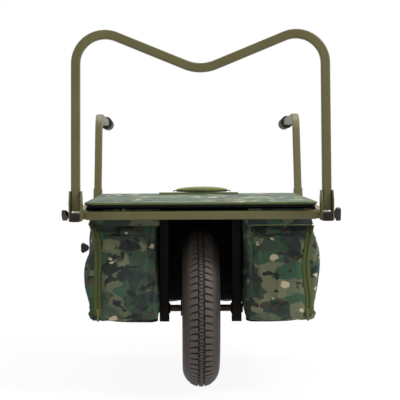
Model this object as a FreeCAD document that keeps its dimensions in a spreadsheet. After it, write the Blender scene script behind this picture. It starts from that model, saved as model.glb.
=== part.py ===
"""Single-wheel game cart with a folding front hoop, as a parametric FreeCAD document.

Millimetres. The wheel end faces -Y, +X is to the right seen from that end, +Z is up.
The origin is on the floor under the middle of the cart.
"""
import FreeCAD, Part
import math
import os
import re

import Sketcher

V = FreeCAD.Vector

# name, value, what it is
SIZES = [
    ("overall_length", 1240, "front of the rail caps to the end of the grips"),
    ("rail_spacing", 598, "side rails, hoop legs, legs and handles, centre to centre"),
    ("rail_height", 20, "side rail top to bottom"),
    ("rail_wall", 1.5, "wall of the side rails"),
    ("rail_corner", 2.5, "outer corner radius of the rails and cross bars"),
    ("cap_head", 4, "thickness of a rail end cap in front of the tube"),
    ("cap_plug", 16, "depth of an end cap inside the tube"),
    ("cap_chamfer", 1.2, "bevel round the front of an end cap"),
    ("bar_depth", 20, "cross bars front to back"),
    ("bar_wall", 1.5, "wall of the cross bars"),
    ("front_bar_setback", 69, "front of the cart to the front bar"),
    ("bar_fitting", 9, "end fitting between the front bar and a rail"),
    ("fitting_inset", 1.5, "how much smaller the end fitting is than the bar, per side"),
    ("hanger_setback", 118, "front of the cart to the bag hanger bar"),
    ("rear_bar_setback", 698, "front of the cart to the rear bar"),
    ("hoop_setback", 28, "front of the cart to the hoop's pivots"),
    ("pivot_rise", 21, "hoop pivot above the rail top"),
    ("tube_side", 21.5, "hoop and handle tube, across flats"),
    ("tube_wall", 2, "wall of the hoop and handle tube"),
    ("tube_corner", 3.5, "outer corner radius of the hoop and handle tube"),
    ("hoop_rise", 406, "crest centre line above the pivots"),
    ("hoop_dip_rise", 325, "middle of the dip above the pivots"),
    ("hoop_bend", 70, "centre line radius of the crest bends"),
    ("dip_bend", 95, "centre line radius of the dip"),
    ("hoop_tail", 17, "hoop leg below the pivot"),
    ("hoop_lean", 3, "hoop leans back when it is up, degrees"),
    ("cheek", 3.2, "thickness of a bracket cheek"),
    ("cheek_half", 25, "half the length of a bracket cheek"),
    ("cheek_rise", 31, "cheek above the pivot"),
    ("cheek_shoulder", 12, "start of the cheek's sloping corners above the pivot"),
    ("cheek_nose", 13, "half the flat top of a cheek"),
    ("cheek_hem", 1, "rail bottom to cheek bottom"),
    ("rivet_radius", 4, "pivot rivet"),
    ("rivet_head", 6.5, "radius of a rivet head"),
    ("rivet_head_height", 2.5, "rivet head beyond the cheek"),
    ("washer_radius", 9, "washer beside a hoop leg"),
    ("washer_thickness", 0.6, "washer beside a hoop leg"),
    ("washer_gap", 0.15, "washer to cheek"),
    ("running_gap", 0.05, "radial gap of a turning pin"),
    ("stud_radius", 3, "threaded stud of a clamp knob"),
    ("stud_drop", 5.5, "clamp stud axis below the rail top"),
    ("weld_nut", 2.5, "thickness of the weld nut on a cheek"),
    ("weld_nut_radius", 6, "radius of a weld nut"),
    ("knob_gap", 0.5, "weld nut to clamp knob"),
    ("knob_length", 15, "clamp knob along its stud"),
    ("knob_rim", 8, "full-width part of a clamp knob"),
    ("knob_crown", 2.5, "chamfered outer end of a clamp knob"),
    ("knob_flare", 16, "radius of the knob's full-width part"),
    ("knob_neck", 7, "radius of the knob's neck"),
    ("knob_wing", 13, "thickness of the knob's wings"),
    ("stud_grip", 8, "stud inside its knob"),
    ("hoop_stud_reach", 6, "clamp stud end beyond the rail's outer wall"),
    ("sleeve_wall", 1.8, "wall of a handle sleeve"),
    ("slide_gap", 0.2, "gap on each side of a sliding tube"),
    ("sleeve_length", 76, "handle sleeve along its axis"),
    ("sleeve_drop", 28, "handle sleeve below the rails"),
    ("sleeve_floor", 2, "thickness of the plate that closes a handle sleeve"),
    ("seat_gap", 0.3, "handle tube end to its sleeve floor, and soft parts to the rest"),
    ("handle_setback", 729, "front of the cart to the bottom of the handle sleeves"),
    ("handle_lean", 15, "handles and sleeves lean back, degrees"),
    ("handle_slope", 2.5, "handle bars fall to the rear, degrees"),
    ("handle_rise", 243, "corner of the handle's centre line above the rail top"),
    ("handle_bend", 50, "centre line radius of the handle bend"),
    ("grip_radius", 19, "rubber grip"),
    ("grip_length", 125, "rubber grip front to back"),
    ("grip_flange", 20.5, "radius of the grip's front flange"),
    ("grip_flange_width", 5, "thickness of the grip's front flange"),
    ("grip_end", 4, "closed end of the grip"),
    ("leg_setback", 679, "front of the cart to the legs"),
    ("leg_sleeve_length", 140, "leg sleeve below the rail"),
    ("leg_tube_wall", 1.5, "wall of the leg tube and its sleeve"),
    ("leg_corner", 2, "outer corner radius of the leg tube"),
    ("leg_rest_gap", 6, "top of a raised leg tube to the rail"),
    ("foot_height", 105, "feet above the floor with the legs raised"),
    ("foot_side", 25, "rubber foot across flats"),
    ("foot_length", 22, "rubber foot top to bottom"),
    ("foot_sole", 5, "rubber under the leg tube"),
    ("leg_stud_rise", 17, "leg clamp stud above the bottom of its sleeve"),
    ("leg_weld_nut", 5, "thickness of the weld nut on a leg sleeve"),
    ("leg_knob_reach", 12, "leg sleeve to leg clamp knob"),
    ("leg_knob_length", 22, "leg clamp knob along its stud"),
    ("leg_knob_rim", 1.5, "full-width part of a leg clamp knob"),
    ("leg_knob_crown", 5, "chamfered outer end of a leg clamp knob"),
    ("leg_knob_flare", 15.5, "radius of the leg knob's full-width part"),
    ("wheel_setback", 263, "front of the cart to the axle"),
    ("wheel_radius", 199, "tyre outer radius"),
    ("crown_clearance", 42, "top of the tyre to the fork bridge"),
    ("tyre_section", 48, "radius of the tyre's round section"),
    ("tyre_wall", 5, "tyre carcass thickness"),
    ("tyre_height", 97.5, "tyre outer radius to rim barrel"),
    ("bead_width", 6, "thickness of a bead"),
    ("rim_half", 36, "middle of the wheel to a rim flange"),
    ("rim_steel", 2.5, "thickness of the rim pressings"),
    ("rim_flange", 11.5, "rim flange above the barrel"),
    ("tube_skin", 2.2, "wall of the inner tube"),
    ("tube_gap", 0.3, "inner tube to tyre"),
    ("valve_radius", 3, "valve stem"),
    ("valve_offset", 18, "valve stem beside the wheel's middle"),
    ("valve_length", 40, "valve stem"),
    ("valve_inside", 12.5, "valve stem outside the rim barrel"),
    ("hub_radius", 20, "hub barrel"),
    ("hub_length", 102, "hub along the axle"),
    ("hub_bore", 12, "radius of the hub's bore between its bearings"),
    ("hub_flange", 36, "radius of the hub's bolting flange"),
    ("flange_thickness", 4, "hub flange"),
    ("bolt_circle", 28, "radius of the rim bolts' circle"),
    ("bolt_radius", 3, "rim bolt"),
    ("bolt_head", 5, "height of a rim bolt's head and of its nut"),
    ("bolt_head_radius", 5.5, "radius of a rim bolt's head and of its nut"),
    ("bearing_radius", 16, "bearing outer radius"),
    ("bearing_width", 10, "bearing"),
    ("axle_radius", 6, "axle bolt"),
    ("spacer_radius", 8.6, "axle spacer"),
    ("fork_spacing", 186, "fork legs, centre to centre"),
    ("fork_side", 25, "fork leg across flats"),
    ("fork_wall", 2, "wall of a fork leg"),
    ("fork_tail", 33, "fork leg below the axle"),
    ("boss_radius", 13.5, "boss on the inside of a fork leg"),
    ("boss_height", 3, "boss on the inside of a fork leg"),
    ("axle_nut_radius", 12, "axle nut"),
    ("axle_nut_height", 3.5, "axle nut"),
    ("bag_gap", 2, "bag to the inside of the rails"),
    ("bag_depth", 253, "bag below the rails"),
    ("bag_wall", 4, "padded bag fabric"),
    ("pod_inner", 110, "middle of the cart to the inside of a side pod"),
    ("pod_setback", 120, "front of the cart to the front of a side pod"),
    ("wheel_clearance", 16, "tyre to the rear compartment"),
    ("flap_thickness", 2, "hanging flap"),
    ("flap_drop", 38.5, "hanging flap below the top of its bar"),
    ("flap_top", 10, "hanging flap across the top of its bar"),
    ("flap_left_inner", 102, "left flap, edge next to the middle"),
    ("flap_left_outer", 239, "left flap, edge next to the rail"),
    ("flap_right_inner", 116, "right flap, edge next to the middle"),
    ("flap_right_outer", 271, "right flap, edge next to the rail"),
    ("gusset_inset", 1, "gusset inside the edge of the lid"),
    ("gusset_rear", 4, "gusset to the rear face of the rear bar"),
    ("lid_gap", 4, "lid to the inside of the rails"),
    ("lid_rise", 10, "underside of the lid's front edge above the rails"),
    ("lid_slope", 0.7, "lid falls to the rear, degrees"),
    ("lid_setback", 72, "front of the cart to the lid"),
    ("lid_length", 648, "lid front to back"),
    ("lid_corner", 26, "corner radius of the lid"),
    ("lid_board", 3, "stiffening board of the lid"),
    ("lid_board_inset", 6, "board inside the edge of the lid"),
    ("lid_pad", 9, "foam pad of the lid"),
    ("carry_setback", 575, "front of the cart to the carry handle"),
    ("strap_length", 224, "webbing under the carry handle"),
    ("strap_width", 24, "webbing of the carry handle"),
    ("strap_thickness", 2, "webbing of the carry handle"),
    ("carry_grip_length", 92, "padded sleeve of the carry handle"),
    ("carry_grip_radius", 6.5, "padded sleeve of the carry handle"),
    ("carry_rise", 15, "carry sleeve's axis above the lid"),
    ("carry_span", 148, "carry handle between the feet of its loops"),
    ("zip_left", 254, "middle of the cart to the left pod's zip"),
    ("zip_right", 262, "middle of the cart to the right pod's zip"),
    ("zip_rise", 18, "bottom of a zip slider above the bottom of its pod"),
    ("slider_width", 8, "zip slider"),
    ("slider_depth", 3, "zip slider"),
    ("slider_height", 13, "zip slider"),
    ("pull_width", 5, "pull tab of a zip slider"),
    ("pull_length", 24, "pull tab of a zip slider"),
    ("pull_depth", 1.5, "pull tab of a zip slider"),
]

doc = FreeCAD.newDocument("GameCart")
sheet = doc.addObject("Spreadsheet::Sheet", "Sizes")
for line, (alias, value, note) in enumerate(SIZES, start=1):
    sheet.set(f"A{line}", alias)
    sheet.set(f"B{line}", str(value))
    sheet.set(f"C{line}", note)
    sheet.setAlias(f"B{line}", alias)
doc.recompute()

ALIAS = re.compile(r"\b(" + "|".join(alias for alias, _, _ in SIZES) + r")\b")

# places that several pieces share, worked out from the sizes
FRONT = "(0 - overall_length / 2)"
RAIL_X = "(rail_spacing / 2)"
RAIL_WIDTH = "(tube_side + 2 * (washer_thickness + washer_gap))"
RAIL_INNER = f"(rail_spacing / 2 - {RAIL_WIDTH} / 2)"
RAIL_OUTER = f"(rail_spacing / 2 + {RAIL_WIDTH} / 2)"
RAIL_BOTTOM = "(2 * wheel_radius + crown_clearance)"
RAIL_TOP = f"({RAIL_BOTTOM} + rail_height)"
HOOP_Y = f"({FRONT} + hoop_setback)"
PIVOT_Z = f"({RAIL_TOP} + pivot_rise)"
CHEEK_OUTER = f"({RAIL_OUTER} + cheek)"
HOOP_STUD_Z = f"({RAIL_TOP} - stud_drop)"
HOOP_KNOB_X = f"({CHEEK_OUTER} + weld_nut + knob_gap)"
SLEEVE_SIDE = "(tube_side + 2 * (slide_gap + sleeve_wall))"
SLEEVE_Y = f"({FRONT} + handle_setback)"
SLEEVE_Z = f"({RAIL_BOTTOM} - sleeve_drop)"
HANDLE_FOOT = "(sleeve_floor + seat_gap)"
HANDLE_CORNER = "((handle_rise + rail_height + sleeve_drop) / cos(handle_lean))"
HANDLE_TURN = "(90 - handle_lean + handle_slope)"
HANDLE_RUN = (
    "((overall_length - handle_setback - (handle_rise + rail_height + sleeve_drop) * tan(handle_lean)"
    " - grip_radius * sin(handle_slope)) / cos(handle_slope) - grip_end)"
)
LEG_Y = f"({FRONT} + leg_setback)"
LEG_SIDE = f"({RAIL_WIDTH} - 2 * leg_tube_wall - 2 * slide_gap)"
LEG_STUD_Z = f"({RAIL_BOTTOM} - leg_sleeve_length + leg_stud_rise)"
LEG_KNOB_X = f"({RAIL_OUTER} + leg_knob_reach)"
AXLE_Y = f"({FRONT} + wheel_setback)"
AXLE_Z = "wheel_radius"
RIM_RADIUS = "(wheel_radius - tyre_height)"
TYRE_CENTRE = "(wheel_radius - tyre_section)"
FORK_INNER = "(fork_spacing / 2 - fork_side / 2)"
FORK_OUTER = "(fork_spacing / 2 + fork_side / 2)"
BAG_X = f"({RAIL_INNER} - bag_gap)"
BAG_BOTTOM = f"({RAIL_BOTTOM} - bag_depth)"
POD_Y = f"({FRONT} + pod_setback)"
REAR_BAG_Y = f"({AXLE_Y} + wheel_radius + wheel_clearance)"
BAG_END_Y = f"({FRONT} + rear_bar_setback + bar_depth)"
LID_X = f"({RAIL_INNER} - lid_gap)"
LID_Y = f"({FRONT} + lid_setback)"
LID_MIDDLE = f"({LID_Y} + lid_length / 2)"
LID_Z = f"({RAIL_TOP} + lid_rise - lid_length / 2 * sin(lid_slope))"
CARRY_Y = f"({FRONT} + carry_setback)"
LID_TOP = (
    f"({LID_Z} + (lid_board + lid_pad) / cos(lid_slope)"
    f" - ({CARRY_Y} - strap_width / 2 - {LID_MIDDLE}) * tan(lid_slope))"
)

SIDES = {"left": -1, "right": 1}
pieces = {}


# ---------------------------------------------------------------- building blocks

def size(name):
    """The number in one cell of the sheet."""
    return float(sheet.get(name))


def formula(text):
    """An expression over the sheet's cells, from one that uses their bare names."""
    return ALIAS.sub(r"<<Sizes>>.\1", str(text))


def number(text):
    """The value of such an expression, worked out in a scratch cell of the sheet."""
    sheet.set("E1", f"={text}")
    sheet.recompute()
    result = sheet.get("E1")
    return float(getattr(result, "Value", result))


def place(item, x, y, z):
    """Binds where an object's own origin lies."""
    for axis, text in zip("xyz", (x, y, z)):
        item.setExpression(f"Placement.Base.{axis}", formula(text))


def turn(item, axis, angle):
    """Turns an object about a main axis through its own origin, in degrees."""
    direction = {"x": V(1, 0, 0), "y": V(0, 1, 0), "z": V(0, 0, 1)}[axis]
    item.Placement = FreeCAD.Placement(V(), FreeCAD.Rotation(direction, number(angle)))
    item.setExpression("Placement.Rotation.Angle", formula(angle))


def block(name, centre, spans):
    """A box about its centre."""
    item = doc.addObject("Part::Box", name)
    for side, span in zip(("Length", "Width", "Height"), spans):
        item.setExpression(side, formula(span))
    place(item, *(f"({middle}) - ({span}) / 2" for middle, span in zip(centre, spans)))
    return item


def slab(name, low, high):
    """A box between two corners."""
    item = doc.addObject("Part::Box", name)
    for side, start, end in zip(("Length", "Width", "Height"), low, high):
        item.setExpression(side, formula(f"({end}) - ({start})"))
    place(item, *low)
    return item


def rod(name, radius, length, start, facing=1):
    """A cylinder along X from its start, towards +X or -X."""
    item = doc.addObject("Part::Cylinder", name)
    item.setExpression("Radius", formula(radius))
    item.setExpression("Height", formula(length))
    item.Placement = FreeCAD.Placement(V(), FreeCAD.Rotation(V(0, 1, 0), 90 * facing))
    place(item, *start)
    return item


def taper(name, radius_start, radius_end, length, start, facing=1):
    """A cone along X from its start, towards +X or -X."""
    item = doc.addObject("Part::Cone", name)
    item.setExpression("Radius1", formula(radius_start))
    item.setExpression("Radius2", formula(radius_end))
    item.setExpression("Height", formula(length))
    item.Placement = FreeCAD.Placement(V(), FreeCAD.Rotation(V(0, 1, 0), 90 * facing))
    place(item, *start)
    return item


def fuse(name, *items):
    item = doc.addObject("Part::MultiFuse", name)
    item.Shapes = list(items)
    return item


def group(name, *items):
    """Separate solids that share one node."""
    item = doc.addObject("Part::Compound", name)
    item.Links = list(items)
    return item


def cut(name, base, *tools):
    item = doc.addObject("Part::Cut", name)
    item.Base = base
    item.Tool = tools[0] if len(tools) == 1 else group(name + "_tools", *tools)
    return item


def common(name, *items):
    item = doc.addObject("Part::MultiCommon", name)
    item.Shapes = list(items)
    return item


def sketch(body, name, plane):
    """A sketch on one of its own body's origin planes."""
    item = body.newObject("Sketcher::SketchObject", name)
    support = next(each for each in body.Origin.OriginFeatures if each.Role == plane)
    item.AttachmentSupport = [(support, "")]
    item.MapMode = "FlatFace"
    return item


def dimension(drawing, kind, text, *where, sign=1):
    """A sketch dimension bound to the sheet."""
    value = number(text)
    index = drawing.addConstraint(Sketcher.Constraint(kind, *where, sign * value))
    drawing.setExpression(f"Constraints[{index}]", formula(text if sign == 1 else f"0 - ({text})"))


def outline(drawing, corners):
    """A closed outline of straight edges, each corner dimensioned from the sketch's origin."""
    spots = [V(number(x), number(y), 0) for x, y in corners]
    count = len(spots)
    first = drawing.GeometryCount
    for index in range(count):
        drawing.addGeometry(Part.LineSegment(spots[index], spots[(index + 1) % count]))
    for index, (x, y) in enumerate(corners):
        edge = first + index
        before = first + (index - 1) % count
        drawing.addConstraint(Sketcher.Constraint("Coincident", before, 2, edge, 1))
        for kind, text in (("DistanceX", x), ("DistanceY", y)):
            dimension(drawing, kind, text, -1, 1, edge, 1)


def circle(drawing, x, y, radius):
    """A circle dimensioned from the sketch's origin."""
    spot = V(number(x), number(y), 0)
    edge = drawing.addGeometry(Part.Circle(spot, V(0, 0, 1), number(radius)))
    dimension(drawing, "Radius", radius, edge)
    dimension(drawing, "DistanceX", x, -1, 1, edge, 3)
    dimension(drawing, "DistanceY", y, -1, 1, edge, 3)


def rounded_rectangle(drawing, width, height, corner):
    """A rectangle with rounded corners about the sketch's origin."""
    half_x, half_y, radius = number(width) / 2, number(height) / 2, number(corner)
    in_x, in_y = half_x - radius, half_y - radius
    edges = [
        ((in_x, half_y), (-in_x, half_y)),
        ((-half_x, in_y), (-half_x, -in_y)),
        ((-in_x, -half_y), (in_x, -half_y)),
        ((half_x, -in_y), (half_x, in_y)),
    ]
    centres = [(-in_x, in_y, 90), (-in_x, -in_y, 180), (in_x, -in_y, 270), (in_x, in_y, 0)]
    ring = []
    for (start, end), (x, y, angle) in zip(edges, centres):
        ring.append(drawing.addGeometry(Part.LineSegment(V(*start, 0), V(*end, 0))))
        corner_circle = Part.Circle(V(x, y, 0), V(0, 0, 1), radius)
        sweep = math.radians(angle), math.radians(angle + 90)
        ring.append(drawing.addGeometry(Part.ArcOfCircle(corner_circle, *sweep)))
    for index in range(8):
        after = ring[(index + 1) % 8]
        drawing.addConstraint(Sketcher.Constraint("Tangent", ring[index], 2, after, 1))
    for kind, index in (("Horizontal", 0), ("Horizontal", 4), ("Vertical", 2), ("Vertical", 6)):
        drawing.addConstraint(Sketcher.Constraint(kind, ring[index]))
    for index in (3, 5, 7):
        drawing.addConstraint(Sketcher.Constraint("Equal", ring[1], ring[index]))
    drawing.addConstraint(Sketcher.Constraint("Symmetric", ring[1], 3, ring[5], 3, -1, 1))
    dimension(drawing, "Radius", corner, ring[1])
    dimension(drawing, "DistanceX", width, ring[2], 1, ring[6], 1)
    dimension(drawing, "DistanceY", height, ring[4], 1, ring[0], 1)


def pad(body, drawing, length, name="pad"):
    item = body.newObject("PartDesign::Pad", name)
    item.Profile = drawing
    item.setExpression("Length", formula(length))
    return item


def tube(name, width, height, corner, wall, length):
    """A rounded square tube along its own Z, from its own origin."""
    body = doc.addObject("PartDesign::Body", name)
    section = sketch(body, name + "_section", "XY_Plane")
    rounded_rectangle(section, width, height, corner)
    inside = f"({width}) - 2 * {wall}", f"({height}) - 2 * {wall}", f"{corner} - {wall}"
    rounded_rectangle(section, *inside)
    pad(body, section, length, name + "_pad")
    return body


def along_x(item):
    """Lays an object that runs along its own Z on its side, along X."""
    item.Placement = FreeCAD.Placement(V(), FreeCAD.Rotation(V(0, 1, 0), 90))
    return item


def along_y(item):
    """Lays an object that runs along its own Z back along Y."""
    item.Placement = FreeCAD.Placement(V(), FreeCAD.Rotation(V(1, 0, 0), -90))
    return item


def keep(label, item):
    """Makes an object a sub-part, with the label that names its file."""
    item.Label = label
    pieces[label] = item
    return item


# ---------------------------------------------------------------- frame

def handle_sleeve_block(name, side, across):
    """A square prism that leans with the handle sleeve."""
    item = doc.addObject("Part::Box", name)
    item.setExpression("Length", formula(across))
    item.setExpression("Width", formula(across))
    item.setExpression("Height", formula("sleeve_length"))
    turn(item, "x", "0 - handle_lean")
    place(
        item,
        f"{side} * {RAIL_X} - ({across}) / 2",
        f"{SLEEVE_Y} - ({across}) / 2 * cos(handle_lean)",
        f"{SLEEVE_Z} + ({across}) / 2 * sin(handle_lean)",
    )
    return item


def side_rail(word, side):
    """Side rail, mitred to its handle sleeve, with the clamp stud's hole in its outer wall."""
    length = (
        "handle_setback + (sleeve_drop + rail_height / 2) * tan(handle_lean) - cap_head"
    )
    rail = along_y(tube(f"rail_tube_{word}", RAIL_WIDTH, "rail_height", "rail_corner", "rail_wall", length))
    place(rail, f"{side} * {RAIL_X}", f"{FRONT} + cap_head", f"{RAIL_BOTTOM} + rail_height / 2")
    mitre = handle_sleeve_block(f"rail_mitre_{word}", side, SLEEVE_SIDE)
    hole_start = f"{side} * ({RAIL_OUTER} + rail_wall)", HOOP_Y, HOOP_STUD_Z
    hole = rod(f"rail_hole_{word}", "stud_radius + running_gap", "4 * rail_wall", hole_start, -side)
    keep(f"side_rail_{word}", cut(f"side_rail_{word}", rail, mitre, hole))


def rail_caps():
    """Moulded caps in the front ends of the side rails."""
    caps = []
    for word, side in SIDES.items():
        body = doc.addObject("PartDesign::Body", f"cap_{word}")
        face = sketch(body, f"cap_face_{word}", "XY_Plane")
        rounded_rectangle(face, RAIL_WIDTH, "rail_height", "rail_corner")
        head = pad(body, face, "cap_head", f"cap_head_{word}")
        doc.recompute()
        bevel = body.newObject("PartDesign::Chamfer", f"cap_bevel_{word}")
        bevel.Base = (head, [front_face(head.Shape)])
        bevel.setExpression("Size", formula("cap_chamfer"))
        plug = sketch(body, f"cap_plug_{word}", "XY_Plane")
        plug.setExpression("AttachmentOffset.Base.z", formula("cap_head"))
        inside = f"{RAIL_WIDTH} - 2 * rail_wall", "rail_height - 2 * rail_wall", "rail_corner - rail_wall"
        rounded_rectangle(plug, *inside)
        pad(body, plug, "cap_plug", f"cap_plug_pad_{word}")
        along_y(body)
        place(body, f"{side} * {RAIL_X}", FRONT, f"{RAIL_BOTTOM} + rail_height / 2")
        caps.append(body)
    keep("rail_end_caps", group("rail_end_caps", *caps))


def front_face(shape):
    """The name of a shape's face in its own plane z = 0."""
    for index, face in enumerate(shape.Faces, start=1):
        if abs(face.CenterOfMass.z) < 1e-6 and abs(face.normalAt(0, 0).z) > 0.99:
            return f"Face{index}"
    raise ValueError("no face at z = 0")


def cross_bar(name, half, setback, depth):
    """A square tube from rail to rail, level with the rails."""
    bar = along_x(tube(name + "_tube", "rail_height", depth, "rail_corner", "bar_wall", f"2 * {half}"))
    place(bar, f"0 - {half}", f"{FRONT} + {setback} + ({depth}) / 2", f"{RAIL_BOTTOM} + rail_height / 2")
    return bar


def bars():
    half = f"({RAIL_INNER} - bar_fitting)"
    keep("front_bar", cross_bar("front_bar", half, "front_bar_setback", "bar_depth"))
    fittings = [
        block(
            f"fitting_{word}",
            (
                f"{side} * ({RAIL_INNER} - bar_fitting / 2)",
                f"{FRONT} + front_bar_setback + bar_depth / 2",
                f"{RAIL_BOTTOM} + rail_height / 2",
            ),
            ("bar_fitting", "bar_depth - 2 * fitting_inset", "rail_height - 2 * fitting_inset"),
        )
        for word, side in SIDES.items()
    ]
    keep("front_bar_fittings", group("front_bar_fittings", *fittings))
    keep("bag_hanger_bar", cross_bar("bag_hanger_bar", RAIL_INNER, "hanger_setback", "bar_depth"))
    keep("fork_bridge", cross_bar("fork_bridge", RAIL_INNER, "(wheel_setback - fork_side / 2)", "fork_side"))
    keep("rear_bar", cross_bar("rear_bar", RAIL_INNER, "rear_bar_setback", "bar_depth"))


def bracket_cheeks(word, side):
    """The two plates that straddle a rail and carry one hoop leg."""
    plates = []
    low = "0 - (pivot_rise + rail_height - cheek_hem)"
    shape = [
        ("0 - cheek_half", low),
        ("cheek_half", low),
        ("cheek_half", "cheek_shoulder"),
        ("cheek_nose", "cheek_rise"),
        ("0 - cheek_nose", "cheek_rise"),
        ("0 - cheek_half", "cheek_shoulder"),
    ]
    for edge, offset in (("inner", f"{RAIL_INNER} - cheek"), ("outer", RAIL_OUTER)):
        name = f"cheek_{word}_{edge}"
        body = doc.addObject("PartDesign::Body", name)
        drawing = sketch(body, name + "_outline", "YZ_Plane")
        outline(drawing, shape)
        circle(drawing, "0", "0", "rivet_radius")
        if edge == "outer":
            circle(drawing, "0", "0 - (pivot_rise + stud_drop)", "stud_radius + running_gap")
        pad(body, drawing, "cheek", name + "_pad")
        start = f"{offset}" if side > 0 else f"0 - ({offset}) - cheek"
        place(body, start, HOOP_Y, PIVOT_Z)
        plates.append(body)
    keep(f"hoop_bracket_{word}", group(f"hoop_bracket_{word}", *plates))


def hoop_rivets():
    """Pivot rivets, headed over outside both cheeks."""
    rivets = []
    for word, side in SIDES.items():
        low = f"{side} * {RAIL_X} - {RAIL_WIDTH} / 2 - cheek"
        high = f"{side} * {RAIL_X} + {RAIL_WIDTH} / 2 + cheek"
        between = f"{RAIL_WIDTH} + 2 * cheek"
        shank = rod(f"rivet_shank_{word}", "rivet_radius", between, (low, HOOP_Y, PIVOT_Z))
        heads = [
            taper(
                f"rivet_head_{end}_{word}", "rivet_head", "rivet_radius", "rivet_head_height",
                (x, HOOP_Y, PIVOT_Z), facing,
            )
            for end, x, facing in (("a", high, 1), ("b", low, -1))
        ]
        rivets.append(fuse(f"rivet_{word}", shank, *heads))
    keep("hoop_rivets", group("hoop_rivets", *rivets))


def weld_nuts(label, radius, thickness, face, y, z):
    """Round weld nuts on the outside of both sides, with a clear hole for the stud."""
    nuts = []
    for word, side in SIDES.items():
        start = f"{side} * {face}", y, z
        disc = rod(f"{label}_disc_{word}", radius, thickness, start, side)
        hole = rod(f"{label}_hole_{word}", "stud_radius + running_gap", thickness, start, side)
        nuts.append(cut(f"{label}_{word}", disc, hole))
    keep(label, group(label, *nuts))


def handle_sleeve(word, side):
    """Leaning square socket at the rear end of a rail, closed at the bottom."""
    body = doc.addObject("PartDesign::Body", f"sleeve_{word}")
    inside = "tube_side + 2 * slide_gap"
    section = sketch(body, f"sleeve_section_{word}", "XY_Plane")
    rounded_rectangle(section, SLEEVE_SIDE, SLEEVE_SIDE, "tube_corner")
    rounded_rectangle(section, inside, inside, "tube_corner - slide_gap")
    pad(body, section, "sleeve_length", f"sleeve_pad_{word}")
    floor = sketch(body, f"sleeve_floor_{word}", "XY_Plane")
    rounded_rectangle(floor, SLEEVE_SIDE, SLEEVE_SIDE, "tube_corner")
    pad(body, floor, "sleeve_floor", f"sleeve_floor_pad_{word}")
    turn(body, "x", "0 - handle_lean")
    place(body, f"{side} * {RAIL_X}", SLEEVE_Y, SLEEVE_Z)
    keep(f"handle_sleeve_{word}", body)


def leg_sleeve(word, side):
    """Square socket under a rail, with the clamp stud's hole in its outer wall."""
    sleeve = tube(
        f"leg_socket_{word}", RAIL_WIDTH, RAIL_WIDTH, "rail_corner", "leg_tube_wall", "leg_sleeve_length",
    )
    place(sleeve, f"{side} * {RAIL_X}", LEG_Y, f"{RAIL_BOTTOM} - leg_sleeve_length")
    start = f"{side} * ({RAIL_OUTER} + leg_tube_wall)", LEG_Y, LEG_STUD_Z
    hole = rod(f"leg_hole_{word}", "stud_radius + running_gap", "3 * leg_tube_wall", start, -side)
    keep(f"leg_sleeve_{word}", cut(f"leg_sleeve_{word}", sleeve, hole))


# ---------------------------------------------------------------- fork and wheel

def fork_leg(word, side):
    length = f"{RAIL_BOTTOM} - ({AXLE_Z} - fork_tail)"
    leg = tube(f"fork_tube_{word}", "fork_side", "fork_side", "rail_corner", "fork_wall", length)
    place(leg, f"{side} * fork_spacing / 2", AXLE_Y, f"{AXLE_Z} - fork_tail")
    start = f"{side} * fork_spacing / 2 - fork_side", AXLE_Y, AXLE_Z
    hole = rod(f"fork_hole_{word}", "axle_radius", "2 * fork_side", start)
    keep(f"fork_leg_{word}", cut(f"fork_leg_{word}", leg, hole))


def axle_hardware():
    """Axle bolt with its head and nut, the bosses on the fork and the spacers beside the hub."""
    reach = f"({FORK_OUTER} + axle_nut_height)"
    keep("axle", rod("axle", "axle_radius", f"2 * {reach}", (f"0 - {reach}", AXLE_Y, AXLE_Z)))
    nuts, bosses, spacers = [], [], []
    for word, side in SIDES.items():
        face = f"{side} * {FORK_OUTER}", AXLE_Y, AXLE_Z
        disc = rod(f"axle_nut_disc_{word}", "axle_nut_radius", "axle_nut_height", face, side)
        hole = rod(f"axle_nut_hole_{word}", "axle_radius", "axle_nut_height", face, side)
        nuts.append(cut(f"axle_nut_{word}", disc, hole))
        face = f"{side} * {FORK_INNER}", AXLE_Y, AXLE_Z
        top_radius = "boss_radius - boss_height / 2"
        dome = taper(f"boss_dome_{word}", "boss_radius", top_radius, "boss_height", face, -side)
        hole = rod(f"boss_hole_{word}", "axle_radius", "boss_height", face, -side)
        bosses.append(cut(f"boss_{word}", dome, hole))
        length = f"{FORK_INNER} - boss_height - hub_length / 2 - seat_gap"
        start = f"{side} * (hub_length / 2 + seat_gap)", AXLE_Y, AXLE_Z
        sleeve = rod(f"spacer_sleeve_{word}", "spacer_radius", length, start, side)
        hole = rod(f"spacer_hole_{word}", "axle_radius", length, start, side)
        spacers.append(cut(f"spacer_{word}", sleeve, hole))
    keep("axle_nuts", group("axle_nuts", *nuts))
    keep("fork_bosses", group("fork_bosses", *bosses))
    keep("axle_spacers", group("axle_spacers", *spacers))


def wheel_disc(name, radius, start, width, facing=1):
    """A disc about the axle, from start along X."""
    return rod(name, radius, width, (start, AXLE_Y, AXLE_Z), facing)


def wheel_ring(name, outer, inner, start, width, facing=1):
    """A ring about the axle, from start along X."""
    body = wheel_disc(name + "_outer", outer, start, width, facing)
    return cut(name, body, wheel_disc(name + "_inner", inner, start, width, facing))


def wheel_torus(name, section):
    item = doc.addObject("Part::Torus", name)
    item.setExpression("Radius1", formula(TYRE_CENTRE))
    item.setExpression("Radius2", formula(section))
    item.Placement = FreeCAD.Placement(V(), FreeCAD.Rotation(V(0, 1, 0), 90))
    place(item, "0", AXLE_Y, AXLE_Z)
    return item


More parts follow.
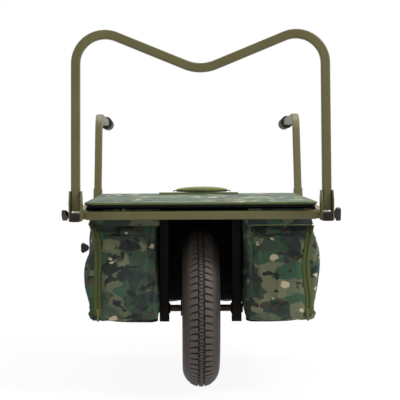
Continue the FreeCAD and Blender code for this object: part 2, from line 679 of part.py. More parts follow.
def tyre():
    """Round-section carcass, open towards the rim, with a bead on each side."""
    body = doc.addObject("PartDesign::Body", "tyre_body")
    profile = sketch(body, "tyre_profile", "XZ_Plane")
    centre = V(0, number(TYRE_CENTRE), 0)
    arcs = []
    skins = ("tyre_section", "rim_half"), ("tyre_section - tyre_wall", "rim_half - bead_width")
    for section, edge in skins:
        radius, half = number(section), number(edge)
        open_angle = math.acos(half / radius)
        round_edge = Part.Circle(centre, V(0, 0, 1), radius)
        arcs.append(profile.addGeometry(Part.ArcOfCircle(round_edge, -open_angle, math.pi + open_angle)))
        dimension(profile, "Radius", section, arcs[-1])
        dimension(profile, "DistanceY", TYRE_CENTRE, -1, 1, arcs[-1], 3)
        profile.addConstraint(Sketcher.Constraint("PointOnObject", arcs[-1], 3, -2))
        dimension(profile, "DistanceX", edge, -1, 1, arcs[-1], 1)
        dimension(profile, "DistanceX", f"0 - ({edge})", -1, 1, arcs[-1], 2)
    outer, inner = arcs
    for end, side in ((1, 1), (2, -1)):
        edges = "rim_half", "rim_half - bead_width"
        low = [V(side * number(edge), number(RIM_RADIUS), 0) for edge in edges]
        high = [profile.getPoint(arc, end) for arc in arcs]
        lines = [
            profile.addGeometry(Part.LineSegment(high[0], low[0])),
            profile.addGeometry(Part.LineSegment(low[0], low[1])),
            profile.addGeometry(Part.LineSegment(low[1], high[1])),
        ]
        joints = [
            (outer, end, lines[0], 1),
            (lines[0], 2, lines[1], 1),
            (lines[1], 2, lines[2], 1),
            (lines[2], 2, inner, end),
        ]
        for joint in joints:
            profile.addConstraint(Sketcher.Constraint("Coincident", *joint))
        profile.addConstraint(Sketcher.Constraint("Vertical", lines[0]))
        profile.addConstraint(Sketcher.Constraint("Vertical", lines[2]))
        profile.addConstraint(Sketcher.Constraint("Horizontal", lines[1]))
        dimension(profile, "DistanceY", RIM_RADIUS, -1, 1, lines[1], 1)
    turned = body.newObject("PartDesign::Revolution", "tyre_turned")
    turned.Profile = profile
    turned.ReferenceAxis = (profile, ["H_Axis"])
    turned.Angle = 360
    place(body, "0", AXLE_Y, AXLE_Z)
    keep("tyre", body)


def inner_tube():
    """Thin rubber ring inside the tyre, with its valve stem through the rim."""
    skin = wheel_torus("tube_outside", "tyre_section - tyre_wall - tube_gap")
    air = wheel_torus("tube_inside", "tyre_section - tyre_wall - tube_gap - tube_skin")
    keep("inner_tube", cut("inner_tube", fuse("tube_and_valve", skin, valve_rod("valve_stem")), air))


def bolt_spots():
    """Where the rim bolts are round the axle."""
    for turn_index in range(4):
        angle = 45 + 90 * turn_index
        yield f"{AXLE_Y} + bolt_circle * cos({angle})", f"{AXLE_Z} + bolt_circle * sin({angle})"


def bolt_rods(name, radius, start, length):
    """Four rods on the bolt circle."""
    spots = enumerate(bolt_spots())
    return [rod(f"{name}_{index}", radius, length, (start, y, z)) for index, (y, z) in spots]


def rims():
    """Two pressed halves, back to back, bolted to each other and to the hub's flange."""
    for word, side in SIDES.items():
        name = f"rim_{word}"
        web = wheel_ring(name + "_web", f"{RIM_RADIUS} - rim_steel / 2", "hub_radius", "0", "rim_steel", side)
        inner = f"{RIM_RADIUS} - rim_steel"
        barrel = wheel_ring(name + "_barrel", RIM_RADIUS, inner, "0", "rim_half + rim_steel", side)
        flange = wheel_ring(
            name + "_flange",
            f"{RIM_RADIUS} + rim_flange",
            f"{RIM_RADIUS} - rim_steel / 2",
            f"{side} * rim_half",
            "rim_steel",
            side,
        )
        pressing = fuse(name + "_pressing", web, barrel, flange)
        holes = bolt_rods(name + "_bolt_hole", "bolt_radius", "0 - 2 * rim_steel", "4 * rim_steel")
        if word == "right":
            holes.append(valve_rod("valve_hole"))
        keep(name, cut(name, pressing, *holes))


def valve_rod(name):
    """The valve stem's cylinder, pointing at the axle from above."""
    item = doc.addObject("Part::Cylinder", name)
    item.setExpression("Radius", formula("valve_radius"))
    item.setExpression("Height", formula("valve_length"))
    place(item, "valve_offset", AXLE_Y, f"{AXLE_Z} + {RIM_RADIUS} + valve_inside - valve_length")
    return item


def hub():
    """Hub barrel with a bolting flange and a bearing in each end."""
    half = "hub_length / 2"
    barrel = wheel_disc("hub_barrel", "hub_radius", f"0 - {half}", "hub_length")
    flange = wheel_disc("hub_plate", "hub_flange", "rim_steel", "flange_thickness")
    bore = wheel_disc("hub_bore_rod", "hub_bore", f"0 - {half}", "hub_length")
    seats = [
        wheel_disc(f"bearing_seat_{word}", "bearing_radius", f"{side} * {half}", "bearing_width", -side)
        for word, side in SIDES.items()
    ]
    holes = bolt_rods("hub_bolt_hole", "bolt_radius", "0", "4 * flange_thickness")
    keep("hub", cut("hub", fuse("hub_solid", barrel, flange), bore, *seats, *holes))
    races = [
        wheel_ring(
            f"bearing_{word}", "bearing_radius", "axle_radius + running_gap",
            f"{side} * {half}", "bearing_width", -side,
        )
        for word, side in SIDES.items()
    ]
    keep("wheel_bearings", group("wheel_bearings", *races))


def rim_bolts():
    """Bolts through both rim halves and the hub flange."""
    low = "0 - rim_steel"
    high = "rim_steel + flange_thickness"
    shanks = bolt_rods("bolt_shank", "bolt_radius", low, f"{high} - ({low})")
    heads = bolt_rods("bolt_head_disc", "bolt_head_radius", f"{low} - bolt_head", "bolt_head")
    nuts = bolt_rods("bolt_nut_disc", "bolt_head_radius", high, "bolt_head")
    bolts = [fuse(f"rim_bolt_{index}", *trio) for index, trio in enumerate(zip(shanks, heads, nuts))]
    keep("rim_bolts", group("rim_bolts", *bolts))


# ---------------------------------------------------------------- hoop

def front_hoop():
    """One tube: two legs, two crests and a dip between them, pivoted near its feet."""
    body = doc.addObject("PartDesign::Body", "hoop_tube")
    path = sketch(body, "hoop_path", "XZ_Plane")
    bend, dip_bend, span, tail = (size(name) for name in ("hoop_bend", "dip_bend", "rail_spacing", "hoop_tail"))
    crest = V(bend, size("hoop_rise") - bend, 0)
    dip = V(span / 2, size("hoop_dip_rise") + dip_bend, 0)
    across = dip - crest
    # the run is tangent to the top of the crest bend and to the underside of the dip bend
    fall = math.asin((bend + dip_bend) / across.Length) - math.atan2(across.y, across.x)
    up = V(math.sin(fall), math.cos(fall), 0)
    run = crest + up * bend, dip - up * dip_bend
    right = [V(span - spot.x, spot.y, 0) for spot in (crest, *run)]
    square = math.pi / 2
    for item in (
        Part.LineSegment(V(0, -tail, 0), V(0, crest.y, 0)),
        Part.ArcOfCircle(Part.Circle(crest, V(0, 0, 1), bend), square - fall, 2 * square),
        Part.LineSegment(*run),
        Part.ArcOfCircle(Part.Circle(dip, V(0, 0, 1), dip_bend), -square - fall, -square + fall),
        Part.LineSegment(right[2], right[1]),
        Part.ArcOfCircle(Part.Circle(right[0], V(0, 0, 1), bend), 0, square + fall),
        Part.LineSegment(V(span, crest.y, 0), V(span, -tail, 0)),
    ):
        path.addGeometry(item)
    joints = [(0, 2, 1, 2), (1, 1, 2, 1), (2, 2, 3, 1), (3, 2, 4, 1), (4, 2, 5, 2), (5, 1, 6, 1)]
    for joint in joints:
        path.addConstraint(Sketcher.Constraint("Tangent", *joint))
    path.addConstraint(Sketcher.Constraint("Vertical", 0))
    path.addConstraint(Sketcher.Constraint("Vertical", 6))
    path.addConstraint(Sketcher.Constraint("Equal", 1, 5))
    path.addConstraint(Sketcher.Constraint("PointOnObject", 0, 1, -2))
    dimension(path, "Radius", "hoop_bend", 1)
    dimension(path, "Radius", "dip_bend", 3)
    dimension(path, "DistanceX", "rail_spacing", -1, 1, 6, 2)
    dimension(path, "DistanceX", "rail_spacing / 2", -1, 1, 3, 3)
    dimension(path, "DistanceY", "hoop_dip_rise + dip_bend", -1, 1, 3, 3)
    for foot in ((0, 1), (6, 2)):
        dimension(path, "DistanceY", "0 - hoop_tail", -1, 1, *foot)
    for centre in ((1, 3), (5, 3)):
        dimension(path, "DistanceY", "hoop_rise - hoop_bend", -1, 1, *centre)
    sweep(body, path, 7, "0 - hoop_tail")
    pins = sketch(body, "hoop_pins", "YZ_Plane")
    circle(pins, "0", "0", "rivet_radius + running_gap")
    pocket = body.newObject("PartDesign::Pocket", "hoop_pin_holes")
    pocket.Profile = pins
    pocket.Type = "ThroughAll"
    pocket.Midplane = True
    turn(body, "x", "0 - hoop_lean")
    place(body, f"0 - {RAIL_X}", HOOP_Y, PIVOT_Z)
    keep("front_hoop", body)


def sweep(body, path, edges, start):
    """A square tube along a path that leaves the body's XY plane, from height start."""
    spine = (path, [f"Edge{index + 1}" for index in range(edges)])
    inside = "tube_side - 2 * tube_wall"
    outer = sketch(body, path.Name + "_outside", "XY_Plane")
    outer.setExpression("AttachmentOffset.Base.z", formula(start))
    rounded_rectangle(outer, "tube_side", "tube_side", "tube_corner")
    skin = body.newObject("PartDesign::AdditivePipe", path.Name + "_skin")
    skin.Profile = outer
    skin.Spine = spine
    doc.recompute()
    inner = sketch(body, path.Name + "_inside", "XY_Plane")
    inner.setExpression("AttachmentOffset.Base.z", formula(start))
    rounded_rectangle(inner, inside, inside, "tube_corner - tube_wall")
    bore = body.newObject("PartDesign::SubtractivePipe", path.Name + "_bore")
    bore.Profile = inner
    bore.Spine = spine
    doc.recompute()


def hoop_washers():
    """A thin washer on each side of both hoop legs."""
    washers = []
    for word, side in SIDES.items():
        for edge in (-1, 1):
            name = f"washer_{word}_{'inner' if edge < 0 else 'outer'}"
            start = f"{side} * {RAIL_X} + {side * edge} * tube_side / 2", HOOP_Y, PIVOT_Z
            disc = rod(name + "_disc", "washer_radius", "washer_thickness", start, side * edge)
            hole = rod(name + "_hole", "rivet_radius + running_gap", "washer_thickness", start, side * edge)
            washers.append(cut(name, disc, hole))
    keep("hoop_washers", group("hoop_washers", *washers))


def clamp_knob(label, side, x, y, z, kind, stud_tip, tilt):
    """Winged knob that flares outwards, moulded on a threaded stud that ends at stud_tip."""
    length, rim, crown, flare = (kind + part for part in ("_length", "_rim", "_crown", "_flare"))
    cone = f"({length} - {rim} - {crown})"
    start = f"{side} * {x}", y, z
    flared = fuse(
        label + "_flare",
        taper(label + "_cone", "knob_neck", flare, cone, start, side),
        rod(label + "_rim", flare, rim, (f"{side} * ({x} + {cone})", y, z), side),
        taper(
            label + "_crown", flare, f"{flare} - {crown}", crown,
            (f"{side} * ({x} + {length} - {crown})", y, z), side,
        ),
    )
    wing = doc.addObject("Part::Box", label + "_wing")
    wing.setExpression("Length", formula(length))
    wing.setExpression("Width", formula("knob_wing"))
    wing.setExpression("Height", formula(f"2 * {flare}"))
    turn(wing, "x", str(tilt))
    low = f"{side} * {x}" if side > 0 else f"0 - {x} - {length}"
    place(
        wing,
        low,
        f"{y} - knob_wing / 2 * cos({tilt}) + {flare} * sin({tilt})",
        f"{z} - knob_wing / 2 * sin({tilt}) - {flare} * cos({tilt})",
    )
    neck = rod(label + "_neck", "knob_neck", length, start, side)
    solid = fuse(label + "_solid", common(label + "_wings", flared, wing), neck)
    inside = f"{side} * ({x} + stud_grip)", y, z
    socket = rod(label + "_socket", "stud_radius", "stud_grip", inside, -side)
    keep(label, cut(label, solid, socket))
    stud = label.replace("knob", "stud")
    keep(stud, rod(stud, "stud_radius", f"{x} + stud_grip - ({stud_tip})", inside, -side))


# ---------------------------------------------------------------- handles and legs

def handle(word, side):
    """Handle tube: up its sleeve, over a bend and back to the grip."""
    body = doc.addObject("PartDesign::Body", f"handle_tube_{word}")
    path = sketch(body, f"handle_path_{word}", "YZ_Plane")
    foot, corner, run = number(HANDLE_FOOT), number(HANDLE_CORNER), number(HANDLE_RUN)
    radius, rise = size("handle_bend"), math.radians(90 - number(HANDLE_TURN))
    reach = radius * math.tan(math.radians(number(HANDLE_TURN)) / 2)
    ahead = V(math.cos(rise), math.sin(rise), 0)
    top = V(0, corner, 0)
    centre = V(radius, corner - reach, 0)
    path.addGeometry(Part.LineSegment(V(0, foot, 0), V(0, corner - reach, 0)))
    bend = Part.Circle(centre, V(0, 0, 1), radius)
    path.addGeometry(Part.ArcOfCircle(bend, math.pi / 2 + rise, math.pi))
    path.addGeometry(Part.LineSegment(top + ahead * reach, top + ahead * run))
    path.addConstraint(Sketcher.Constraint("Tangent", 0, 2, 1, 2))
    path.addConstraint(Sketcher.Constraint("Tangent", 1, 1, 2, 1))
    path.addConstraint(Sketcher.Constraint("PointOnObject", 0, 1, -2))
    path.addConstraint(Sketcher.Constraint("Vertical", 0))
    dimension(path, "Radius", "handle_bend", 1)
    dimension(path, "DistanceY", HANDLE_FOOT, -1, 1, 0, 1)
    dimension(path, "DistanceX", f"{HANDLE_RUN} * sin({HANDLE_TURN})", -1, 1, 2, 2)
    dimension(path, "DistanceY", f"{HANDLE_CORNER} + {HANDLE_RUN} * cos({HANDLE_TURN})", -1, 1, 2, 2)
    bend_top = f"{HANDLE_CORNER} - handle_bend * tan({HANDLE_TURN} / 2)"
    dimension(path, "DistanceY", bend_top, -1, 1, 1, 3)
    sweep(body, path, 3, HANDLE_FOOT)
    turn(body, "x", "0 - handle_lean")
    place(body, f"{side} * {RAIL_X}", SLEEVE_Y, SLEEVE_Z)
    keep(f"handle_{word}", body)


def grip(word, side):
    """Moulded grip pushed over the end of a handle bar."""
    body = doc.addObject("PartDesign::Body", f"grip_body_{word}")
    profile = sketch(body, f"grip_profile_{word}", "YZ_Plane")
    outline(
        profile,
        [
            ("0", "0"),
            ("0", "grip_flange"),
            ("grip_flange_width", "grip_flange"),
            ("grip_flange_width", "grip_radius"),
            ("grip_length - grip_end", "grip_radius"),
            ("grip_length", "grip_radius - grip_end"),
            ("grip_length", "0"),
        ],
    )
    solid = body.newObject("PartDesign::Revolution", f"grip_solid_{word}")
    solid.Profile = profile
    solid.ReferenceAxis = (profile, ["H_Axis"])
    solid.Angle = 360
    doc.recompute()
    hole = sketch(body, f"grip_hole_{word}", "XZ_Plane")
    rounded_rectangle(hole, "tube_side", "tube_side", "tube_corner")
    pocket = body.newObject("PartDesign::Pocket", f"grip_socket_{word}")
    pocket.Profile = hole
    pocket.setExpression("Length", formula("grip_length - grip_end"))
    before = solid.Shape.Volume
    doc.recompute()
    if pocket.Shape.Volume > before - 1:
        pocket.Reversed = True
        doc.recompute()
    turn(body, "x", "0 - handle_slope")
    back = f"{HANDLE_RUN} + grip_end - grip_length"
    rise = "(handle_rise + rail_height + sleeve_drop)"
    place(
        body,
        f"{side} * {RAIL_X}",
        f"{SLEEVE_Y} + {rise} * tan(handle_lean) + ({back}) * cos(handle_slope)",
        f"{SLEEVE_Z} + {rise} - ({back}) * sin(handle_slope)",
    )
    keep(f"grip_{word}", body)


def leg(word, side):
    """Leg tube that slides in its sleeve, and the rubber foot on its end."""
    foot_bottom = "foot_height"
    tube_bottom = f"({foot_bottom} + foot_sole)"
    length = f"{RAIL_BOTTOM} - leg_rest_gap - {tube_bottom}"
    shin = tube(f"leg_tube_{word}", LEG_SIDE, LEG_SIDE, "leg_corner", "leg_tube_wall", length)
    place(shin, f"{side} * {RAIL_X}", LEG_Y, tube_bottom)
    keep(f"leg_{word}", shin)
    body = doc.addObject("PartDesign::Body", f"foot_body_{word}")
    sole = sketch(body, f"foot_sole_{word}", "XY_Plane")
    rounded_rectangle(sole, "foot_side", "foot_side", "tube_corner")
    pad(body, sole, "foot_length", f"foot_pad_{word}")
    doc.recompute()
    hole = sketch(body, f"foot_hole_{word}", "XY_Plane")
    hole.setExpression("AttachmentOffset.Base.z", formula("foot_sole"))
    rounded_rectangle(hole, LEG_SIDE, LEG_SIDE, "leg_corner")
    pocket = body.newObject("PartDesign::Pocket", f"foot_socket_{word}")
    pocket.Profile = hole
    pocket.Reversed = True
    pocket.setExpression("Length", formula("foot_length"))
    place(body, f"{side} * {RAIL_X}", LEG_Y, foot_bottom)
    keep(f"foot_{word}", body)


# ---------------------------------------------------------------- bag and lid

def tub(label, low, high):
    """An open-topped padded box between two corners."""
    (x0, y0, z0), (x1, y1, z1) = low, high
    outside = slab(label + "_outside", low, high)
    inner_low = f"{x0} + bag_wall", f"{y0} + bag_wall", f"{z0} + bag_wall"
    inner_high = f"{x1} - bag_wall", f"{y1} - bag_wall", f"{z1} + bag_wall"
    keep(label, cut(label, outside, slab(label + "_inside", inner_low, inner_high)))


def bag():
    """Side pods either side of the wheel and a compartment across the back of them."""
    tub("bag_pod_left", (f"0 - {BAG_X}", POD_Y, BAG_BOTTOM), ("0 - pod_inner", REAR_BAG_Y, RAIL_BOTTOM))
    tub("bag_pod_right", ("pod_inner", POD_Y, BAG_BOTTOM), (BAG_X, REAR_BAG_Y, RAIL_BOTTOM))
    tub("bag_rear", (f"0 - {BAG_X}", REAR_BAG_Y, BAG_BOTTOM), (BAG_X, BAG_END_Y, RAIL_BOTTOM))


def gusset():
    """Low fabric wall between the cross bars and the sloping lid."""
    half = f"({LID_X} - gusset_inset)"
    front = f"({FRONT} + hanger_setback + flap_top)"
    back = f"({BAG_END_Y} - gusset_rear)"
    top = f"({RAIL_TOP} + lid_rise - seat_gap)"
    outside = slab("gusset_outside", (f"0 - {half}", front, RAIL_TOP), (half, back, top))
    inside = slab(
        "gusset_inside",
        (f"0 - {half} + bag_wall", f"{front} + bag_wall", RAIL_TOP),
        (f"{half} - bag_wall", f"{back} - bag_wall", top),
    )
    above = slab("gusset_above", ("0", "0", "0"), (f"2 * {half}", "lid_length", "lid_rise"))
    turn(above, "x", "0 - lid_slope")
    place(above, f"0 - {half}", f"{LID_MIDDLE} - lid_length / 2 * cos(lid_slope)", top)
    keep("lid_gusset", cut("lid_gusset", outside, inside, above))


def flap(word, side):
    """Fabric flap folded over the hanger bar and hanging in front of it."""
    low, high = f"flap_{word}_inner", f"flap_{word}_outer"
    x0, x1 = (low, high) if side > 0 else (f"0 - {high}", f"0 - {low}")
    front = f"({FRONT} + hanger_setback - flap_thickness)"
    top = slab(
        f"flap_top_{word}",
        (x0, front, RAIL_TOP),
        (x1, f"{front} + flap_thickness + flap_top", f"{RAIL_TOP} + flap_thickness"),
    )
    skirt = slab(
        f"flap_skirt_{word}",
        (x0, front, f"{RAIL_TOP} - flap_drop"),
        (x1, f"{front} + flap_thickness", f"{RAIL_TOP} + flap_thickness"),
    )
    keep(f"bag_flap_{word}", fuse(f"bag_flap_{word}", top, skirt))


def lid():
    """Stiffening board with a foam pad on it, sloping down to the rear."""
    board = doc.addObject("PartDesign::Body", "board_body")
    drawing = sketch(board, "board_outline", "XY_Plane")
    inset = "2 * lid_board_inset"
    corner = "lid_corner - lid_board_inset"
    rounded_rectangle(drawing, f"2 * {LID_X} - {inset}", f"lid_length - {inset}", corner)
    pad(board, drawing, "lid_board", "board_pad")
    turn(board, "x", "0 - lid_slope")
    place(board, "0", LID_MIDDLE, LID_Z)
    keep("lid_board_panel", board)
    cover = doc.addObject("PartDesign::Body", "cover_body")
    drawing = sketch(cover, "cover_outline", "XY_Plane")
    rounded_rectangle(drawing, f"2 * {LID_X}", "lid_length", "lid_corner")
    pad(cover, drawing, "lid_pad", "cover_pad")
    turn(cover, "x", "0 - lid_slope")
    place(
        cover,
        "0",
        f"{LID_MIDDLE} + lid_board * sin(lid_slope)",
        f"{LID_Z} + lid_board * cos(lid_slope)",
    )
    keep("lid_pad_cover", cover)


def carry_handle():
    """Webbing on the lid with a loop at each end that holds a padded sleeve."""
    base = block(
        "strap_base",
        ("0", CARRY_Y, f"{LID_TOP} + strap_thickness / 2"),
        ("strap_length", "strap_width", "strap_thickness"),
    )
    loops = []
    for word, side in SIDES.items():
        body = doc.addObject("PartDesign::Body", f"strap_loop_{word}")
        drawing = sketch(body, f"strap_loop_outline_{word}", "XZ_Plane")
        foot, end = "carry_span / 2", "carry_grip_length / 2"
        shape = [
            (foot, "0"),
            (f"{foot} - strap_thickness", "0"),
            (f"{foot} - 3 * strap_thickness", "carry_rise - 3.5 * strap_thickness"),
            (end, "carry_rise - 1.5 * strap_thickness"),
            (end, "carry_rise - strap_thickness / 2"),
            (f"{foot} - 2 * strap_thickness", "carry_rise - 2.5 * strap_thickness"),
        ]
        outline(drawing, [(f"{side} * ({x})", z) for x, z in shape])
        profile = pad(body, drawing, "strap_width / 2", f"strap_loop_pad_{word}")
        profile.Midplane = True
        place(body, "0", CARRY_Y, f"{LID_TOP} + strap_thickness")
        loops.append(body)
    keep("carry_strap", group("carry_strap", base, *loops))
    middle = f"{LID_TOP} + carry_rise"
    start = "0 - carry_grip_length / 2", CARRY_Y, middle
    keep("carry_grip", rod("carry_grip", "carry_grip_radius", "carry_grip_length", start))


def zip_slider(word, side):
    """Slider and pull tab of a pod's zip, at the bottom of the zip."""
    x = f"{side} * zip_{word}"
    front = f"({POD_Y} - seat_gap)"
    bottom = f"({BAG_BOTTOM} + zip_rise)"
    body = slab(
        f"slider_body_{word}",
        (f"{x} - slider_width / 2", f"{front} - slider_depth", bottom),
        (f"{x} + slider_width / 2", front, f"{bottom} + slider_height"),
    )
    tab_top = f"({bottom} + slider_height / 2)"
    tab = slab(
        f"slider_tab_{word}",
        (f"{x} - pull_width / 2", f"{front} - slider_depth - pull_depth", f"{tab_top} - pull_length"),
        (f"{x} + pull_width / 2", f"{front} - slider_depth", tab_top),
    )
    keep(f"zip_slider_{word}", fuse(f"zip_slider_{word}", body, tab))


# ---------------------------------------------------------------- the cart

# how far each knob's wings are turned from upright, in degrees
KNOB_TILT = {"left": 58, "right": 12}
LEG_KNOB_TILT = {"left": 8, "right": -30}

for word, side in SIDES.items():
    side_rail(word, side)
    bracket_cheeks(word, side)
    handle_sleeve(word, side)
    leg_sleeve(word, side)
    fork_leg(word, side)
    handle(word, side)
    grip(word, side)
    leg(word, side)
    flap(word, side)
    zip_slider(word, side)
    clamp_knob(
        f"hoop_knob_{word}", side, HOOP_KNOB_X, HOOP_Y, HOOP_STUD_Z, "knob",
        f"{RAIL_OUTER} - rail_wall - hoop_stud_reach", KNOB_TILT[word],
    )
    clamp_knob(
        f"leg_knob_{word}", side, LEG_KNOB_X, LEG_Y, LEG_STUD_Z, "leg_knob",
        f"{RAIL_OUTER} - leg_tube_wall - slide_gap + seat_gap", LEG_KNOB_TILT[word],
    )
rail_caps()
bars()
hoop_rivets()
weld_nuts("hoop_weld_nuts", "weld_nut_radius", "weld_nut", CHEEK_OUTER, HOOP_Y, HOOP_STUD_Z)
weld_nuts("leg_weld_nuts", "weld_nut_radius", "leg_weld_nut", RAIL_OUTER, LEG_Y, LEG_STUD_Z)
axle_hardware()
tyre()
inner_tube()
rims()
hub()
rim_bolts()
front_hoop()
hoop_washers()
bag()
gusset()
lid()
carry_handle()

sheet.clear("E1")
doc.recompute()

for item in doc.Objects:
    if {"Invalid", "Error"} & set(item.State):
        raise RuntimeError(f"{item.Label} failed: {item.State}")
for label, item in pieces.items():
    if item.Shape.isNull() or not item.Shape.isValid():
        raise RuntimeError(f"{label} has no valid shape")

os.makedirs("parts", exist_ok=True)
for label, item in pieces.items():
    item.Shape.exportStep(f"parts/{label}.step")
print(len(pieces), "nodes,", sum(len(item.Shape.Solids) for item in pieces.values()), "solids")
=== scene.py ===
"""Finishes, tyre, soft goods, camera and light of a single-wheel game cart.

Metres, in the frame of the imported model: the wheel end faces -Y, +X is to the right seen from
there, +Z is up, and the floor is at zero.
"""

import math

import bmesh
import bpy
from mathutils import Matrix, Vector, noise
from mathutils.bvhtree import BVHTree


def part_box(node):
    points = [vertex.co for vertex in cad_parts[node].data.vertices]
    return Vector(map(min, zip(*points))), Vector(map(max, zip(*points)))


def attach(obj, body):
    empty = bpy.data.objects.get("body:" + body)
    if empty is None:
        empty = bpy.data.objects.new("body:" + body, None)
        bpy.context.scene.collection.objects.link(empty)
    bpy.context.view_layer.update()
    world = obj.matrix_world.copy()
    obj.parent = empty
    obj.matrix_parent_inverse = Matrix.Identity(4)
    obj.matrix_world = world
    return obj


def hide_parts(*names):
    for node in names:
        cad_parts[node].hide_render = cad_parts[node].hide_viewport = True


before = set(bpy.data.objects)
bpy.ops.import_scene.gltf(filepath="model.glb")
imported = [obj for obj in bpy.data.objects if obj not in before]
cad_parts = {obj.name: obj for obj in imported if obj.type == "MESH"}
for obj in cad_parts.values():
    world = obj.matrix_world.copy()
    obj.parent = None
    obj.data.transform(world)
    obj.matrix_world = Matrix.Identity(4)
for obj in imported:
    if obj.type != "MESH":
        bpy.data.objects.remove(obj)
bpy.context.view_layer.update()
scene = bpy.context.scene
MM = 0.001
SIDES = {"left": -1, "right": 1}


def clamped(value):
    """The value, kept between nought and one."""
    return min(1.0, max(0.0, value))


# ---------------------------------------------------------------- materials

def colour(code):
    """Linear RGBA of an sRGB hex code."""
    parts = [int(code[k:k + 2], 16) / 255 for k in (1, 3, 5)]
    return [c / 12.92 if c <= 0.04045 else ((c + 0.055) / 1.055) ** 2.4 for c in parts] + [1.0]


def add(tree, kind, inputs=None, out=0, **settings):
    """Adds a node and gives one of its outputs; each input is a plain value or another output."""
    made = tree.nodes.new("ShaderNode" + kind)
    for name, value in settings.items():
        setattr(made, name, value)
    for name, value in (inputs or {}).items():
        if isinstance(value, bpy.types.NodeSocket):
            tree.links.new(value, made.inputs[name])
        else:
            made.inputs[name].default_value = value
    return made.outputs[out] if made.outputs else None


def start(name):
    """An empty material, its node tree and the place of each point on its own piece."""
    made = bpy.data.materials.new(name)
    made.use_nodes = True
    made.node_tree.nodes.clear()
    return made, made.node_tree, add(made.node_tree, "TexCoord", out="Object")


def powder_coat(name, main, dusty, roughness, gloss):
    """Powder-coated mild steel: an even satin skin with fine orange peel and softly rounded edges."""
    made, tree, where = start(name)
    clouds = add(tree, "TexNoise", {"Vector": where, "Scale": 1 / (90 * MM), "Detail": 4})
    clouds = add(tree, "MapRange", {"Value": clouds, "From Min": 0.3, "From Max": 0.7})
    shade = add(tree, "Mix", {0: clouds, 6: colour(main), 7: colour(dusty)}, out=2, data_type="RGBA")
    scuffs = add(tree, "TexNoise", {"Vector": where, "Scale": 1 / (30 * MM), "Detail": 5})
    rough = add(tree, "MapRange", {"Value": scuffs, "To Min": roughness - 0.08, "To Max": roughness + 0.08})
    peel = add(tree, "TexNoise", {"Vector": where, "Scale": 1 / (1.6 * MM)})
    edge = add(tree, "Bevel", {"Radius": 0.7 * MM}, samples=4)
    relief = {"Height": peel, "Distance": 0.05 * MM, "Strength": 0.25, "Normal": edge}
    skin = add(tree, "BsdfPrincipled", {
        "Base Color": shade, "Roughness": rough, "IOR": 1.5, "Specular IOR Level": gloss,
        "Normal": add(tree, "Bump", relief),
    })
    add(tree, "OutputMaterial", {"Surface": skin})
    return made


def moulded(name, main, pale, roughness, pitting, gloss=0.35):
    """Moulded nylon or rubber: dark, with a fine spark-eroded pitting that dulls the highlights."""
    made, tree, where = start(name)
    worn = add(tree, "TexNoise", {"Vector": where, "Scale": 1 / (25 * MM), "Detail": 4})
    worn = add(tree, "MapRange", {"Value": worn, "From Min": 0.46, "From Max": 0.7})
    shade = add(tree, "Mix", {0: worn, 6: colour(main), 7: colour(pale)}, out=2, data_type="RGBA")
    rough = add(tree, "MapRange", {"Value": worn, "To Min": roughness, "To Max": roughness + 0.1})
    pits = add(tree, "TexNoise", {"Vector": where, "Scale": 1 / pitting, "Detail": 3})
    skin = add(tree, "BsdfPrincipled", {
        "Base Color": shade, "Roughness": rough, "IOR": 1.5, "Specular IOR Level": gloss,
        "Normal": add(tree, "Bump", {"Height": pits, "Distance": 0.15 * MM, "Strength": 0.6}),
    })
    add(tree, "OutputMaterial", {"Surface": skin})
    return made


def bare_metal(name, dark, light):
    """Plated or oxidised steel: slightly mottled metal with a dull shine."""
    made, tree, where = start(name)
    mottle = add(tree, "TexNoise", {"Vector": where, "Scale": 1 / (6 * MM), "Detail": 4})
    shade = add(tree, "Mix", {0: mottle, 6: colour(dark), 7: colour(light)}, out=2, data_type="RGBA")
    fine = add(tree, "TexNoise", {"Vector": where, "Scale": 1 / (1.5 * MM)})
    skin = add(tree, "BsdfPrincipled", {
        "Base Color": shade, "Metallic": 1.0,
        "Roughness": add(tree, "MapRange", {"Value": mottle, "To Min": 0.28, "To Max": 0.53}),
        "Normal": add(tree, "Bump", {"Height": fine, "Distance": 0.04 * MM}),
    })
    add(tree, "OutputMaterial", {"Surface": skin})
    return made


def threads(tree, where, spacing, depth, strength):
    """Relief of crossed threads on any face that lies along a main axis."""
    scale = math.tau / 20 / spacing
    total = 0.0
    for axis in "XYZ":
        band = add(tree, "TexWave", {"Vector": where, "Scale": scale}, bands_direction=axis, out="Fac")
        total = add(tree, "Math", {0: total, 1: band}, operation="ADD")
    return add(tree, "Bump", {"Height": total, "Distance": depth, "Strength": strength})


# Printed patches from the largest to the smallest: colour, size across, level, seed.
CAMO_PATCHES = [
    ("#565c46", 84 * MM, 0.52, 1.7),
    ("#2a3a2f", 62 * MM, 0.53, 9.1),
    ("#66684f", 48 * MM, 0.60, 40.3),
    ("#232e2e", 52 * MM, 0.54, 5.3),
    ("#2e4a37", 44 * MM, 0.59, 13.9),
    ("#181e1e", 28 * MM, 0.62, 21.4),
    ("#3d3329", 20 * MM, 0.67, 33.8),
]
CREAM_CELL = 29 * MM
PATCH_EDGE = 0.01


